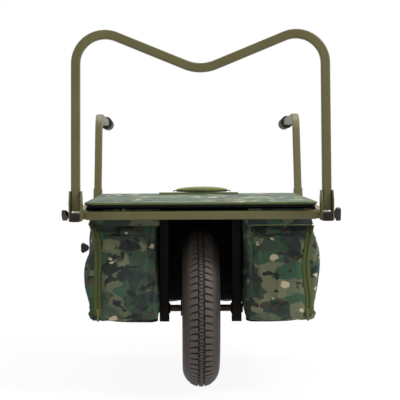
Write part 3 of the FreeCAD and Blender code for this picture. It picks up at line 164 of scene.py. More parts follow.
def printed_canvas(name, gloss, painted_light):
    """Coated polyester canvas printed with woodland patches: matt, faintly ribbed by its threads."""
    made, tree, where = start(name)
    stretch = add(tree, "Mapping", {"Vector": where, "Scale": (0.8, 0.9, 1.15)})
    wobble = add(tree, "TexNoise", {"Vector": where, "Scale": 1 / (26 * MM)}, out="Color")
    drift = add(tree, "VectorMath", {0: wobble, 1: (0.5, 0.5, 0.5)}, operation="SUBTRACT")
    drift = add(tree, "VectorMath", {0: drift, "Scale": 20 * MM}, operation="SCALE")
    place = add(tree, "VectorMath", {0: stretch, 1: drift}, operation="ADD")
    shade = colour("#3a4438")
    for code, size, level, seed in CAMO_PATCHES:
        inputs = {"Vector": place, "W": seed, "Scale": 1 / size, "Detail": 0.6, "Distortion": 0.4}
        patch = add(tree, "TexNoise", inputs, noise_dimensions="4D")
        limits = {"Value": patch, "From Min": level - PATCH_EDGE, "From Max": level + PATCH_EDGE}
        patch = add(tree, "MapRange", limits)
        shade = add(tree, "Mix", {0: patch, 6: shade, 7: colour(code)}, out=2, data_type="RGBA")
    spots = add(tree, "TexVoronoi", {"Vector": place, "Scale": 1 / CREAM_CELL}, out="Distance")
    chance = add(tree, "SeparateColor", {0: spots.node.outputs["Color"]}).node.outputs
    reach = add(tree, "MapRange", {"Value": chance[1], "To Min": 0.07, "To Max": 0.36})
    inside = add(tree, "Math", {0: spots, 1: reach}, operation="LESS_THAN")
    chosen = add(tree, "Math", {0: chance[0], 1: 0.74}, operation="GREATER_THAN")
    cream = add(tree, "Math", {0: inside, 1: chosen}, operation="MULTIPLY")
    shade = add(tree, "Mix", {0: cream, 6: shade, 7: colour("#b3a68a")}, out=2, data_type="RGBA")
    faded = add(tree, "TexNoise", {"Vector": where, "Scale": 1 / (60 * MM), "Detail": 5})
    bleach = add(tree, "Math", {0: faded, 1: 0.1}, operation="MULTIPLY")
    shade = add(tree, "Mix", {0: bleach, 6: shade, 7: colour("#9fa694")}, out=2, data_type="RGBA")
    # painted light: every colour lighter in the same proportion, standing in for the stronger light on the
    # lid's top
    inputs = {0: painted_light, 6: shade, 7: shade}
    shade = add(tree, "Mix", inputs, out=2, data_type="RGBA", blend_type="ADD")
    # the real threads are about 0.5 mm apart; six times that is the finest that shows
    skin = add(tree, "BsdfPrincipled", {
        "Base Color": shade, "Specular IOR Level": gloss,
        "Roughness": add(tree, "MapRange", {"Value": faded, "To Min": 0.68, "To Max": 0.88}),
        "Normal": threads(tree, where, 3 * MM, 0.18 * MM, 0.5),
    })
    add(tree, "OutputMaterial", {"Surface": skin})
    return made


def plain_cloth(name, main, pale, spacing, depth, sheen):
    """Plain woven cloth or webbing: matt, with its threads as fine ribs and a little fading."""
    made, tree, where = start(name)
    faded = add(tree, "TexNoise", {"Vector": where, "Scale": 1 / (18 * MM), "Detail": 5})
    skin = add(tree, "BsdfPrincipled", {
        "Base Color": add(tree, "Mix", {0: faded, 6: colour(main), 7: colour(pale)}, out=2, data_type="RGBA"),
        "Roughness": add(tree, "MapRange", {"Value": faded, "To Min": 0.7, "To Max": 0.9}),
        "Specular IOR Level": 0.15, "Sheen Weight": sheen, "Sheen Roughness": 0.4,
        "Normal": threads(tree, where, spacing, depth, 0.6),
    })
    add(tree, "OutputMaterial", {"Surface": skin})
    return made


def tyre_compound():
    """Vulcanised carbon-black rubber: dusty grey-brown on the tread's lands, with painted shade that darkens
    its grooves and its side walls.
    """
    made, tree, where = start("vulcanised_tyre_rubber")
    land_unshaded = add(tree, "Attribute", attribute_name="unshaded_tread_share", out="Fac")
    dust = add(tree, "TexNoise", {"Vector": where, "Scale": 1 / (12 * MM), "Detail": 6})
    land = add(tree, "Mix", {0: dust, 6: colour("#403934"), 7: colour("#5b534c")}, out=2, data_type="RGBA")
    # painted shade: near-black where the pattern sinks and darker towards the side walls
    shade = add(tree, "Mix", {0: land_unshaded, 6: colour("#100d0b"), 7: land}, out=2, data_type="RGBA")
    fine = add(tree, "TexNoise", {"Vector": where, "Scale": 1 / (1.2 * MM), "Detail": 3})
    skin = add(tree, "BsdfPrincipled", {
        "Base Color": shade, "IOR": 1.52, "Specular IOR Level": 0.3,
        "Roughness": add(tree, "MapRange", {"Value": dust, "To Min": 0.5, "To Max": 0.7}),
        "Normal": add(tree, "Bump", {"Height": fine, "Distance": 0.12 * MM, "Strength": 0.5}),
    })
    add(tree, "OutputMaterial", {"Surface": skin})
    return made


olive_coat = powder_coat("olive_powder_coated_steel", "#524d2a", "#5c5733", 0.44, 0.4)
black_coat = powder_coat("black_powder_coated_steel", "#0b0705", "#120d09", 0.5, 0.12)
nylon = moulded("moulded_glass_filled_nylon", "#261f1b", "#332b26", 0.5, 1.5 * MM)
cap_plastic = moulded("moulded_polyethylene", "#191412", "#241e1b", 0.55, 1.5 * MM, 0.2)
board = moulded("black_laminated_board", "#0d0c0b", "#141312", 0.6, 2 * MM, 0.15)
hand_rubber = moulded("moulded_grip_rubber", "#1a1817", "#262321", 0.62, 2.5 * MM)
zinc = bare_metal("zinc_plated_steel", "#6f6a62", "#9a958b")
oxide = bare_metal("black_oxide_steel", "#2b241e", "#3d342b")
canvas = printed_canvas("printed_polyester_canvas", 0.08, 0.0)
# the lid's copy of the same canvas, lighter throughout: painted light for its top-lit face
lid_painted_light_canvas = printed_canvas("painted_light_printed_canvas", 0.27, 0.75)
black_cloth = plain_cloth("black_coated_polyester", "#090d0c", "#111615", 3 * MM, 0.2 * MM, 0.03)
webbing = plain_cloth("olive_polypropylene_webbing", "#4d5531", "#626b3f", 2.6 * MM, 0.35 * MM, 0.1)
tape = plain_cloth("olive_zip_tape", "#454c26", "#555c31", 2.4 * MM, 0.2 * MM, 0.05)
sleeve_cloth = plain_cloth("olive_padded_sleeve_cloth", "#6a7046", "#80865b", 2.6 * MM, 0.3 * MM, 0.2)
coil_nylon = moulded("dark_olive_coil_nylon", "#24270f", "#2f3318", 0.4, 1.2 * MM)
rubber = tyre_compound()

FINISHES = {
    "olive_steel": olive_coat,
    "black_steel": black_coat,
    "black_plastic": nylon,
    "plated_steel": zinc,
    "tyre_rubber": rubber,
    "grip_rubber": hand_rubber,
    "camo_fabric": canvas,
    "black_fabric": black_cloth,
    "olive_webbing": webbing,
}
for name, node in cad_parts.items():
    for held in node.material_slots:
        held.material = FINISHES[held.material.name.split(".")[0]]
        if name.startswith("axle"):
            held.material = oxide
        elif name.startswith("zip_slider"):
            held.material = olive_coat
        elif name == "lid_board_panel":
            held.material = board
        elif name == "rail_end_caps":
            held.material = cap_plastic


# ---------------------------------------------------------------- mesh building

def piece(name, points, faces, *materials):
    """A smooth-shaded object from points and faces."""
    data = bpy.data.meshes.new(name)
    data.from_pydata([tuple(p) for p in points], [], faces)
    for material in materials:
        data.materials.append(material)
    data.shade_smooth()
    made = bpy.data.objects.new(name, data)
    scene.collection.objects.link(made)
    return made


def ring_faces(count, size, loop=False, closed=True):
    """Faces between rows of points, each row closed on itself or open."""
    faces = []
    for row in range(count if loop else count - 1):
        low, high = row * size, (row + 1) % count * size
        for k in range(size if closed else size - 1):
            after = (k + 1) % size
            faces.append((low + k, low + after, high + after, high + k))
    return faces


def loft(name, rings, *materials, loop=False):
    """Skin through closed rings of equally many points, capped unless the rings loop."""
    size = len(rings[0])
    faces = ring_faces(len(rings), size, loop)
    if not loop:
        faces.append(tuple(range(size))[::-1])
        faces.append(tuple(range((len(rings) - 1) * size, len(rings) * size)))
    return piece(name, [p for ring in rings for p in ring], faces, *materials)


def rounded_outline(half_x, half_y, corner, steps):
    """Points round a rectangle with round corners, evenly turned, about its middle."""
    points = []
    for quarter in range(4):
        x = (half_x - corner) * (1, -1, -1, 1)[quarter]
        y = (half_y - corner) * (1, 1, -1, -1)[quarter]
        for k in range(steps + 1):
            angle = math.pi / 2 * (quarter + k / steps)
            points.append((x + corner * math.cos(angle), y + corner * math.sin(angle)))
    return points


def cord_mesh(name, path, radius, material, loop=False):
    """Round cord along a path."""
    count, sides = len(path), 10
    turns = [math.tau * j / sides for j in range(sides)]
    rings = []
    side = Vector((0, 0, 1))
    for k, point in enumerate(path):
        before = path[(k - 1) % count] if loop or k else point
        after = path[(k + 1) % count] if loop or k < count - 1 else point
        along = (after - before).normalized()
        side = (side - side.dot(along) * along).normalized()
        across = along.cross(side)
        rings.append([point + radius * (math.cos(a) * across + math.sin(a) * side) for a in turns])
    return loft(name, rings, material, loop=loop)


def baked(made):
    """A plain copy of a piece with its modifiers applied; the original goes."""
    shown = made.evaluated_get(bpy.context.evaluated_depsgraph_get())
    data = bpy.data.meshes.new_from_object(shown)
    title = made.name
    bpy.data.objects.remove(made)
    data.shade_smooth()
    fresh = bpy.data.objects.new(title, data)
    data.name = title
    scene.collection.objects.link(fresh)
    return fresh


def modified(made, kind, **settings):
    """Adds a modifier with its settings."""
    extra = made.modifiers.new(kind.lower(), kind)
    for name, value in settings.items():
        setattr(extra, name, value)


# ---------------------------------------------------------------- camera, light and floor

CAMERA_PLACE = -0.038, -3.392, 0.635
CAMERA_ROLL = math.radians(0.28)
FOCAL_LENGTH = 105.84            # of a lens on a sensor 36 wide, both in millimetres
LENS_SHIFT = 0.0375, -0.1525     # shares of the sensor's width
LAMP_AIM = 0, -0.2, 0.4


def look_at_wheel_end():
    """Camera square to the wheel end."""
    lens = bpy.data.cameras.new("camera")
    lens.sensor_width = 36
    lens.lens = FOCAL_LENGTH
    lens.shift_x, lens.shift_y = LENS_SHIFT
    lens.clip_start, lens.clip_end = 0.1, 50
    viewer = bpy.data.objects.new("camera", lens)
    viewer.location = CAMERA_PLACE
    viewer.rotation_euler = math.pi / 2, CAMERA_ROLL, 0
    scene.collection.objects.link(viewer)
    scene.camera = viewer


def softbox(name, place, aim, width, height, power):
    """Rectangular area lamp aimed at a point."""
    lamp = bpy.data.lights.new(name, "AREA")
    lamp.shape = "RECTANGLE"
    lamp.size, lamp.size_y = width, height
    lamp.energy = power
    made = bpy.data.objects.new(name, lamp)
    made.location = place
    made.rotation_euler = (Vector(aim) - Vector(place)).to_track_quat("-Z", "Y").to_euler()
    scene.collection.objects.link(made)


def white_share(tree):
    """One for rays that come from the camera, a reflection or glass, and nought for the rest."""
    rays = add(tree, "LightPath", out="Is Camera Ray").node.outputs
    seen = add(tree, "Math", {0: rays["Is Camera Ray"], 1: rays["Is Glossy Ray"]}, operation="MAXIMUM")
    return add(tree, "Math", {0: seen, 1: rays["Is Transmission Ray"]}, operation="MAXIMUM")


def studio():
    """Pale floor and world that look white to the camera and in reflections, and three softboxes."""
    look_at_wheel_end()
    softbox("key_light", (2.1, -1.5, 2.9), LAMP_AIM, 1.1, 1.1, 108)
    softbox("fill_light", (-2.0, -2.6, 2.2), LAMP_AIM, 1.8, 1.8, 20)
    softbox("top_light", (0, 0.6, 2.8), (0, 0, 0.4), 2.4, 1.6, 52)
    world = bpy.data.worlds.new("studio")
    world.use_nodes = True
    scene.world = world
    world.node_tree.nodes.clear()
    soft = add(world.node_tree, "Background", {"Color": colour("#f4f6fa"), "Strength": 0.23})
    white = add(world.node_tree, "Background", {"Color": (1, 1, 1, 1), "Strength": 1.0})
    sky = add(world.node_tree, "MixShader", {0: white_share(world.node_tree), 1: soft, 2: white})
    add(world.node_tree, "OutputWorld", {"Surface": sky})
    paper, tree, where = start("white_paper_floor")
    matt = add(tree, "BsdfDiffuse", {"Color": colour("#fafafa")})
    white = add(tree, "Emission", {"Color": (1, 1, 1, 1), "Strength": 1.0})
    far = add(tree, "VectorMath", {0: where}, operation="LENGTH", out="Value")
    far = add(tree, "MapRange", {"Value": far, "From Min": 0.7, "From Max": 1.6, "To Min": 0.93})
    share = add(tree, "Math", {0: white_share(tree), 1: far}, operation="MULTIPLY")
    skin = add(tree, "MixShader", {0: share, 1: matt, 2: white})
    add(tree, "OutputMaterial", {"Surface": skin})
    reach = 20                       # metres from the middle to each side of the floor
    corners = [(-reach, -reach, 0), (reach, -reach, 0), (reach, reach, 0), (-reach, reach, 0)]
    piece("paper_floor", corners, [(0, 1, 2, 3)], paper)
    scene.view_settings.view_transform = "Standard"


# ---------------------------------------------------------------- tyre

TREAD_DEPTH = 4 * MM
PITCHES = 70
RIB_HALF = 6 * MM
GROOVE = 2.6 * MM
BLOCK_END = 31 * MM
NOTCH = 2.4 * MM                 # how far the middle rib's edge steps in along half of each pitch
SLOT = 0.22                      # share of a pitch that a slot between two blocks takes
SLOT_RAMP = 0.035                # share of a pitch that the two walls of a slot take together
SIPE = 0.2                       # share of half a pitch that a fine cut in the middle rib takes
EDGE_LINE = 1.5 * MM             # groove outside the blocks
SHOULDER_LINES = 37 * MM, 42 * MM, 47 * MM
TREAD_END = 49.5 * MM
STEPS_PER_PITCH = 20
BEAD_HALF = 36 * MM
BEAD_INNER_HALF = 28 * MM
BEAD_DEPTH = 97 * MM             # from the crown's top to the bead
LINER_DEPTH = 26 * MM            # from the section's middle to the end of the liner


def tread_depth(across, turn):
    """Depth of the pattern under the crown, as a share of the tread's, at an arc distance and pitch."""
    side = 1 if across > 0 else -1
    far = abs(across)
    phase = (turn + (0.5 if side > 0 else 0.0)) % 1.0
    notch = NOTCH if phase < 0.5 else 0.0
    rib = RIB_HALF - notch
    if far < rib:
        sipe = abs((turn * 2) % 1.0 - 0.5) * 2
        return 0.6 if sipe < SIPE and far < rib - 1.0 * MM else 0.0
    if far < RIB_HALF + GROOVE:
        return 1.0
    if far < BLOCK_END:
        bend = 0.3 * ((far - RIB_HALF) / (BLOCK_END - RIB_HALF)) ** 2
        gap = abs((phase + bend) % 1.0 - 0.5) * 2
        fade = 1 - 0.55 * (far / BLOCK_END) ** 3
        return fade if gap < SLOT else max(0.0, fade * (1 - (gap - SLOT) / SLOT_RAMP))
    if far < BLOCK_END + EDGE_LINE:
        return 0.35
    for rib_line in SHOULDER_LINES:
        if abs(far - rib_line) < 0.9 * MM:
            return 0.12
    return 0.2


def tread_tyre():
    """Block-tread barrow tyre: crown with grooves and slots, ribbed shoulders, smooth side walls."""
    low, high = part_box("tyre")
    axle = Vector((0, (low.y + high.y) / 2, (low.z + high.z) / 2))
    outer = (high.z - low.z) / 2
    section = (high.x - low.x) / 2
    spine = outer - section
    open_angle = math.pi - math.asin(BEAD_HALF / section)
    # stations evenly spaced across the tread, and further apart down the side walls
    step = 0.5 * MM
    angles = [k * step / section for k in range(round(TREAD_END / step) + 1)]
    while angles[-1] < open_angle:
        angles.append(min(angles[-1] + 0.06, open_angle))
    stations = [-a for a in reversed(angles[1:])] + angles
    bead = outer - BEAD_DEPTH
    inside = [(BEAD_HALF, bead), (BEAD_INNER_HALF, bead), (BEAD_INNER_HALF, spine - LINER_DEPTH)]
    inside += [(-x, reach) for x, reach in reversed(inside)]
    around = PITCHES * STEPS_PER_PITCH
    points, land = [], []
    for k in range(around):
        turn = math.tau * k / around
        pitch = k / STEPS_PER_PITCH
        up, back = math.cos(turn), math.sin(turn)
        for angle in stations:
            share = tread_depth(angle * section, pitch)
            radius = section - 0.15 * MM - TREAD_DEPTH * share
            x, reach = radius * math.sin(angle), spine + radius * math.cos(angle)
            points.append(axle + Vector((x, reach * back, reach * up)))
            # painted shade: less of the lands' colour the deeper the pattern and towards the side walls
            wall = clamped((abs(angle * section) - BLOCK_END) / (12 * MM))
            land.append((1 - share * 0.9) * (1 - 0.6 * wall))
        for x, reach in inside:
            points.append(axle + Vector((x, reach * back, reach * up)))
            land.append(0.3)
    faces = ring_faces(around, len(stations) + len(inside), loop=True)
    made = piece("block_tread_tyre", points, faces, rubber)
    shade = made.data.attributes.new("unshaded_tread_share", "FLOAT", "POINT")
    shade.data.foreach_set("value", land)
    made.data.set_sharp_from_angle(angle=math.radians(35))
    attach(made, "wheel")
    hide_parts("tyre")


# ---------------------------------------------------------------- bag

CELL = 6 * MM                    # of the bag's mesh before it is smoothed
CLOTH_FRAMES = 12
CANVAS_THICKNESS = 2.2 * MM      # with its lining


def soft_tub(name, node, corner, free, reach):
    """Fabric bag compartment: a round-cornered closed box whose panels swell under pressure."""
    low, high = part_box(node)
    middle = (low + high) / 2
    half = (high - low) / 2
    inset = 2 * MM
    rings = []
    levels = 28
    for k in range(levels + 1):
        share = k / levels
        z = low.z + (high.z - low.z) * share
        tuck = inset + corner * 0.3 * max(0.0, 1 - share * levels) ** 2
        outline = rounded_outline(half.x - tuck, half.y - tuck, corner, 5)
        rings.append([Vector((middle.x + x, middle.y + y, z)) for x, y in outline])
    made = loft(name, rings, canvas, black_cloth)
    modified(made, "REMESH", mode="VOXEL", voxel_size=CELL)
    made = baked(made)
    made = swollen(made, free, reach)
    modified(made, "SUBSURF", levels=1, render_levels=1)
    return baked(made)


def swollen(made, free, reach):
    """Runs Cloth with pressure on a closed skin, keeps its seams still and limits how far it moves."""
    rest = [v.co.copy() for v in made.data.vertices]
    held = made.vertex_groups.new(name="seams")
    for k, point in enumerate(rest):
        held.add([k], 1.0 - free(point), "REPLACE")
    cloth = made.modifiers.new("cloth", "CLOTH")
    settings = cloth.settings
    settings.vertex_group_mass = held.name
    settings.quality = 4
    settings.mass = 0.3
    settings.tension_stiffness = settings.compression_stiffness = 12
    settings.shear_stiffness = 5
    settings.bending_stiffness = 0.4
    settings.shrink_min = -0.035
    settings.use_pressure = True
    settings.uniform_pressure_force = 3.0
    settings.effector_weights.gravity = 0
    cloth.collision_settings.use_collision = False
    cloth.point_cache.frame_end = CLOTH_FRAMES
    for moment in range(1, CLOTH_FRAMES + 1):
        scene.frame_set(moment)
    shown = made.evaluated_get(bpy.context.evaluated_depsgraph_get())
    for vertex, before, after in zip(made.data.vertices, rest, shown.data.vertices):
        move = after.co - before
        limit = reach(before)
        if move.length > limit:
            move *= limit / move.length
        vertex.co = before + move
    made.modifiers.remove(cloth)
    scene.frame_set(1)
    return made


def away_from_edges(low, high, margin):
    """One in the middle of every panel of a box and nought along its edges."""
    def share(point):
        gaps = sorted(min(point[k] - low[k], high[k] - point[k]) for k in range(3))
        return clamped((gaps[1] - margin) / margin)
    return share


def opened(made, top):
    """Takes the lid off a closed skin and gives its wall the thickness of lined canvas."""
    data = bmesh.new()
    data.from_mesh(made.data)
    doomed = [f for f in data.faces if f.calc_center_median().z > top - 7 * MM and f.normal.z > 0.5]
    bmesh.ops.delete(data, geom=doomed, context="FACES")
    for vertex in data.verts:
        if any(e.is_boundary for e in vertex.link_edges):
            vertex.co.z = top - 0.4 * MM
    data.to_mesh(made.data)
    data.free()
    modified(made, "SOLIDIFY", thickness=CANVAS_THICKNESS, offset=-1, material_offset=1)
    return baked(made)


def curve_through(stops):
    """Smooth function through (place, value) pairs given in rising order of place."""
    def value(at):
        at = min(max(at, stops[0][0]), stops[-1][0])
        k = next(k for k in range(1, len(stops)) if at <= stops[k][0])
        (a, p), (b, q) = stops[k - 1], stops[k]
        (before, first), (after, last) = stops[max(k - 2, 0)], stops[min(k + 1, len(stops) - 1)]
        span = b - a
        leave, arrive = span * (q - first) / (b - before), span * (last - p) / (after - a)
        t = (at - a) / span
        return (
            (2 * t ** 3 - 3 * t ** 2 + 1) * p + (t ** 3 - 2 * t ** 2 + t) * leave
            + (3 * t ** 2 - 2 * t ** 3) * q + (t ** 3 - t ** 2) * arrive
        )
    return value


# Front silhouette of each pod, by height in metres: its outer and its inner edge.
POD_OUTER = {
    "left": curve_through([
        (0.187, -0.2725), (0.198, -0.2785), (0.228, -0.2865), (0.275, -0.2940), (0.322, -0.2905),
        (0.358, -0.2770), (0.384, -0.2705), (0.400, -0.2730), (0.421, -0.2790), (0.440, -0.2740),
    ]),
    "right": curve_through([
        (0.187, 0.2790), (0.198, 0.2830), (0.238, 0.2920), (0.290, 0.2980), (0.322, 0.2990),
        (0.358, 0.2965), (0.384, 0.2905), (0.400, 0.2845), (0.411, 0.2815), (0.421, 0.2790), (0.440, 0.2750),
    ]),
}
POD_INNER = {
    "left": curve_through([
        (0.187, -0.1080), (0.215, -0.1030), (0.260, -0.1060), (0.310, -0.1090), (0.360, -0.1130),
        (0.400, -0.1110), (0.440, -0.1090),
    ]),
    "right": curve_through([
        (0.187, 0.1130), (0.215, 0.1060), (0.260, 0.1080), (0.310, 0.1100), (0.360, 0.1110),
        (0.400, 0.1060), (0.440, 0.1040),
    ]),
}
# Middle line of each zip beside the middle of its slider, by height in metres.
ZIP_OFFSET = {
    "left": curve_through([
        (0.190, 0.0), (0.2145, -0.0015), (0.288, -0.0004), (0.350, 0.0006), (0.378, -0.0009),
        (0.399, -0.0056), (0.415, -0.0110), (0.424, -0.0150),
    ]),
    "right": curve_through([
        (0.190, 0.0015), (0.210, 0.0025), (0.239, 0.0035), (0.268, 0.0004), (0.296, -0.0032),
        (0.330, -0.0044), (0.362, -0.0004), (0.391, 0.0040), (0.415, 0.0084), (0.424, 0.0105),
    ]),
}
# Creases of each front panel: start and end (share of the width from its inner seam, height), depth
# and half width in metres. The first two run beside the inner seam, the others cross the panel.
CREASES = {
    "left": [
        ((0.10, 0.425), (0.06, 0.330), 10 * MM, 7 * MM), ((0.06, 0.340), (0.12, 0.230), 9 * MM, 7 * MM),
        ((0.16, 0.400), (0.28, 0.300), 3.0 * MM, 10 * MM), ((0.16, 0.270), (0.40, 0.215), 2.6 * MM, 10 * MM),
        ((0.62, 0.395), (0.45, 0.330), 2.6 * MM, 11 * MM), ((0.72, 0.360), (0.50, 0.270), 2.4 * MM, 9 * MM),
        ((0.24, 0.350), (0.34, 0.250), 2.2 * MM, 8 * MM),
    ],
    "right": [
        ((0.20, 0.425), (0.11, 0.350), 10 * MM, 7 * MM), ((0.11, 0.360), (0.15, 0.240), 9 * MM, 7 * MM),
        ((0.22, 0.400), (0.34, 0.300), 3.2 * MM, 10 * MM), ((0.30, 0.400), (0.60, 0.370), 2.4 * MM, 10 * MM),
        ((0.70, 0.350), (0.66, 0.270), 3.0 * MM, 9 * MM), ((0.20, 0.290), (0.42, 0.220), 2.6 * MM, 10 * MM),
        ((0.78, 0.380), (0.74, 0.300), 2.6 * MM, 8 * MM),
    ],
}


BELLY_REACH = 11 * MM            # how far a pod may swell past its box
SKIN_SETBACK = 1.6 * MM          # of the skin behind the box's front, under the zip and at the top
TOP_LEAN = 15 * MM               # how far the top of a front panel leans back
TAPE_HALF = 9.4 * MM             # from the zip's middle to the outer edge of each tape
COIL_HALF = 1.3 * MM             # from the zip's middle to the inner edge of each tape
TOOTH_PITCH = 2.4 * MM


def crease_depth(creases, share, width, z):
    """How far the creases of a panel sink at one point of it."""
    depth = 0.0
    here = Vector((share * width, z))
    for (s0, z0), (s1, z1), sink, half in creases:
        a, b = Vector((s0 * width, z0)), Vector((s1 * width, z1))
        along = (b - a).length
        t = (here - a).dot(b - a) / along ** 2
        if not -0.15 < t < 1.15:
            continue
        bow = math.sin(t * math.pi) * half * 0.6
        gap = (here - a.lerp(b, t)).length - bow
        ends = math.sin(math.pi * clamped((t + 0.15) / 1.3))
        furrow = math.exp(-(gap / half * 1.6) ** 2)
        ridge = 0.45 * math.exp(-((gap - half) / half) ** 2)
        depth += sink * ends * (furrow - ridge)
    return depth


def side_pod(word, side):
    """One of the two pods beside the wheel, with its zip."""
    node = f"bag_pod_{word}"
    low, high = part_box(node)
    outer, inner = (low.x, high.x) if side < 0 else (high.x, low.x)
    made = soft_tub(
        f"pod_{word}", node, 12 * MM,
        away_from_edges(low, high, 12 * MM),
        lambda p: 3 * MM if side * p.x < side * (outer - side * 100 * MM) else BELLY_REACH,
    )
    slider_low, slider_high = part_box(f"zip_slider_{word}")
    slider = (slider_low.x + slider_high.x) / 2

    def zip_x(z):
        return slider + ZIP_OFFSET[word](z)

    bands, band = {}, 12 * MM
    for vertex in made.data.vertices:
        p = vertex.co
        if p.y < low.y + 120 * MM:
            k = round((p.z - low.z) / band)
            reach = bands.setdefault(k, [side * p.x, side * p.x])
            reach[0], reach[1] = min(reach[0], side * p.x), max(reach[1], side * p.x)
    for vertex in made.data.vertices:
        p = vertex.co
        edge = bands.get(round((p.z - low.z) / band), [side * inner, side * outer])
        share = (side * p.x - edge[0]) / max(1 * MM, edge[1] - edge[0])
        target = POD_INNER[word](p.z) * (1 - share) + POD_OUTER[word](p.z) * share
        ahead = clamped((low.y + 240 * MM - p.y) / (140 * MM))
        p.x += (target - p.x) * ahead
        face = clamped((low.y + 30 * MM - p.y) / (30 * MM))
        height = (p.z - low.z) / (high.z - low.z)
        belly = math.sin(math.pi * clamped(height)) * face
        folds = noise.noise(Vector((p.x * 9, p.y * 3, p.z * 14))) * 2.6 * MM
        folds += noise.noise(Vector((p.x * 30, p.y * 12, p.z * 22 + 7))) * 1.2 * MM
        p.y += folds * min(1.0, 3 * belly) - 5 * MM * belly
        p.y += crease_depth(CREASES[word], share, abs(outer - inner), p.z) * face
        p.y += TOP_LEAN * clamped((height - 0.78) / 0.16) ** 2 * face
        nearest = low.y + (SKIN_SETBACK if height > 0.84 else -BELLY_REACH)
        column = max(0.0, 1 - abs(p.x - zip_x(p.z)) / (22 * MM))
        if p.y < low.y + 6 * MM:
            p.y += (low.y + SKIN_SETBACK - p.y) * min(1.0, 2 * column)
        if p.y < low.y + 40 * MM:
            p.y = max(p.y, nearest)
    made = opened(made, high.z)
    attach(made, "chassis")
    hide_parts(node)
    zip_fastener(word, side, made, low, high, zip_x)


def zip_fastener(word, side, pod, low, high, middle):
    """Zip laid on the pod: two strips of tape and a dark coil of interlocked turns between them."""
    surface = BVHTree.FromObject(pod, bpy.context.evaluated_depsgraph_get())
    deepest = low.y + 20 * MM

    def on_pod(x, z, lift):
        hit = surface.ray_cast(Vector((x, low.y - 0.1, z)), Vector((0, 1, 0)))[0]
        depth = deepest if hit is None else min(deepest, hit.y)
        return Vector((x, depth - lift, z))

    top, bottom = high.z - 20 * MM, low.z + 14 * MM
    rows = 90
    for name, inner, outer in (("inner", COIL_HALF, TAPE_HALF), ("outer", -COIL_HALF, -TAPE_HALF)):
        points = []
        for k in range(rows + 1):
            z = top + (bottom - top) * k / rows
            x = middle(z)
            for j in range(5):
                share = j / 4
                offset = inner + (outer - inner) * share
                lift = (1.3 - 0.9 * share ** 3) * MM
                points.append(on_pod(x - side * offset, z, lift))
        made = piece(f"zip_tape_{name}_{word}", points, ring_faces(rows + 1, 5, closed=False), tape)
        modified(made, "SOLIDIFY", thickness=0.7 * MM, offset=-1)
        made = baked(made)
        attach(made, "chassis")
    turns = round((top - bottom) / TOOTH_PITCH)
    rings = []
    for k in range(turns * 4 + 1):
        z = top + (bottom - top) * k / (turns * 4)
        swell = (1.5, 1.9, 1.5, 1.1)[k % 4] * MM
        centre = on_pod(middle(z), z, 0.5 * MM)
        rings.append([
            centre + Vector((swell * 1.3 * math.cos(a), -0.6 * swell * math.sin(a), 0))
            for a in (math.tau * j / 8 for j in range(8))
        ])
    coil = loft(f"zip_coil_{word}", rings, coil_nylon)
    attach(coil, "chassis")


def rear_compartment():
    """Wide compartment behind the wheel: printed canvas, with the wall facing the wheel drawn in black canvas
    as painted shade.
    """
    low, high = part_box("bag_rear")
    made = soft_tub(
        "rear_compartment", "bag_rear", 16 * MM,
        away_from_edges(low, high, 14 * MM),
        lambda p: (2 if p.y < low.y + 30 * MM else 8) * MM,
    )
    for vertex in made.data.vertices:
        p = vertex.co
        p.y = max(p.y, low.y + 0.3 * MM)
        if abs(p.x) > 0.25 and p.y > 0.02:
            p.x = math.copysign(min(abs(p.x), high.x), p.x)
    # painted shade: the wall facing the wheel takes the black canvas
    for face in made.data.polygons:
        if face.center.y < low.y + 20 * MM and abs(face.normal.y) > 0.5:
            face.material_index = 1
    made = opened(made, high.z)
    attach(made, "chassis")
    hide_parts("bag_rear")


def hanging_flap(word, side):
    """Canvas flap that wraps the hanger bar and hangs in front of it, bound along its hem."""
    low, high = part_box(f"bag_flap_{word}")
    bar_low, bar_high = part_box("bag_hanger_bar")
    skin, puff = 1.0 * MM, 4.5 * MM
    bend = 3 * MM
    columns, width = 40, high.x - low.x
    rear = Vector((0, high.y, bar_high.z + puff))
    corner = Vector((0, bar_low.y - skin + bend, bar_high.z + puff - bend))
    angles = [k * math.pi / 16 for k in range(9)]
    path = [rear] + [corner + bend * Vector((0, -math.sin(a), math.cos(a))) for a in angles]
    edge = len(path) - 1             # the row at the front of the bar, where the flap starts to hang
    rows = 14
    drop = path[edge].z - low.z - 1.5 * MM
    path += [Vector((0, path[edge].y, path[edge].z - drop * k / rows)) for k in range(1, rows + 1)]
    points = []
    for row, station in enumerate(path):
        hang = max(0.0, row - edge) / rows
        for k in range(columns + 1):
            x = low.x + width * k / columns
            wave = math.sin(x * 55 + 2 * side) + 0.6 * math.sin(x * 118 + 1.3)
            points.append(Vector((x, station.y - 0.9 * MM * hang * (1.3 + wave), station.z)))
    made = piece(f"hanging_flap_{word}", points, ring_faces(len(path), columns + 1, closed=False), canvas)
    modified(made, "SOLIDIFY", thickness=1.4 * MM, offset=0)
    made = baked(made)
    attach(made, "chassis")
    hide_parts(f"bag_flap_{word}")
    binding = sleeve_cloth if side > 0 else canvas
    hem = cord_mesh(f"flap_hem_{word}", points[-columns - 1:], 1.1 * MM, binding)
    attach(hem, "chassis")


# ---------------------------------------------------------------- lid

PAD_THICKNESS = 9 * MM
PAD_CORNER = 26 * MM
PIPING_RADIUS = 2.8 * MM
SLEEVE_DEPTH = 13 * MM           # half the padded sleeve's size along the cart


def lid_top(y):
    """Height of the pad's upper face, which falls towards the rear with the lid."""
    low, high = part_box("lid_pad_cover")
    fall = (high.z - low.z - PAD_THICKNESS) / (high.y - low.y)
    return high.z - fall * (y - low.y)


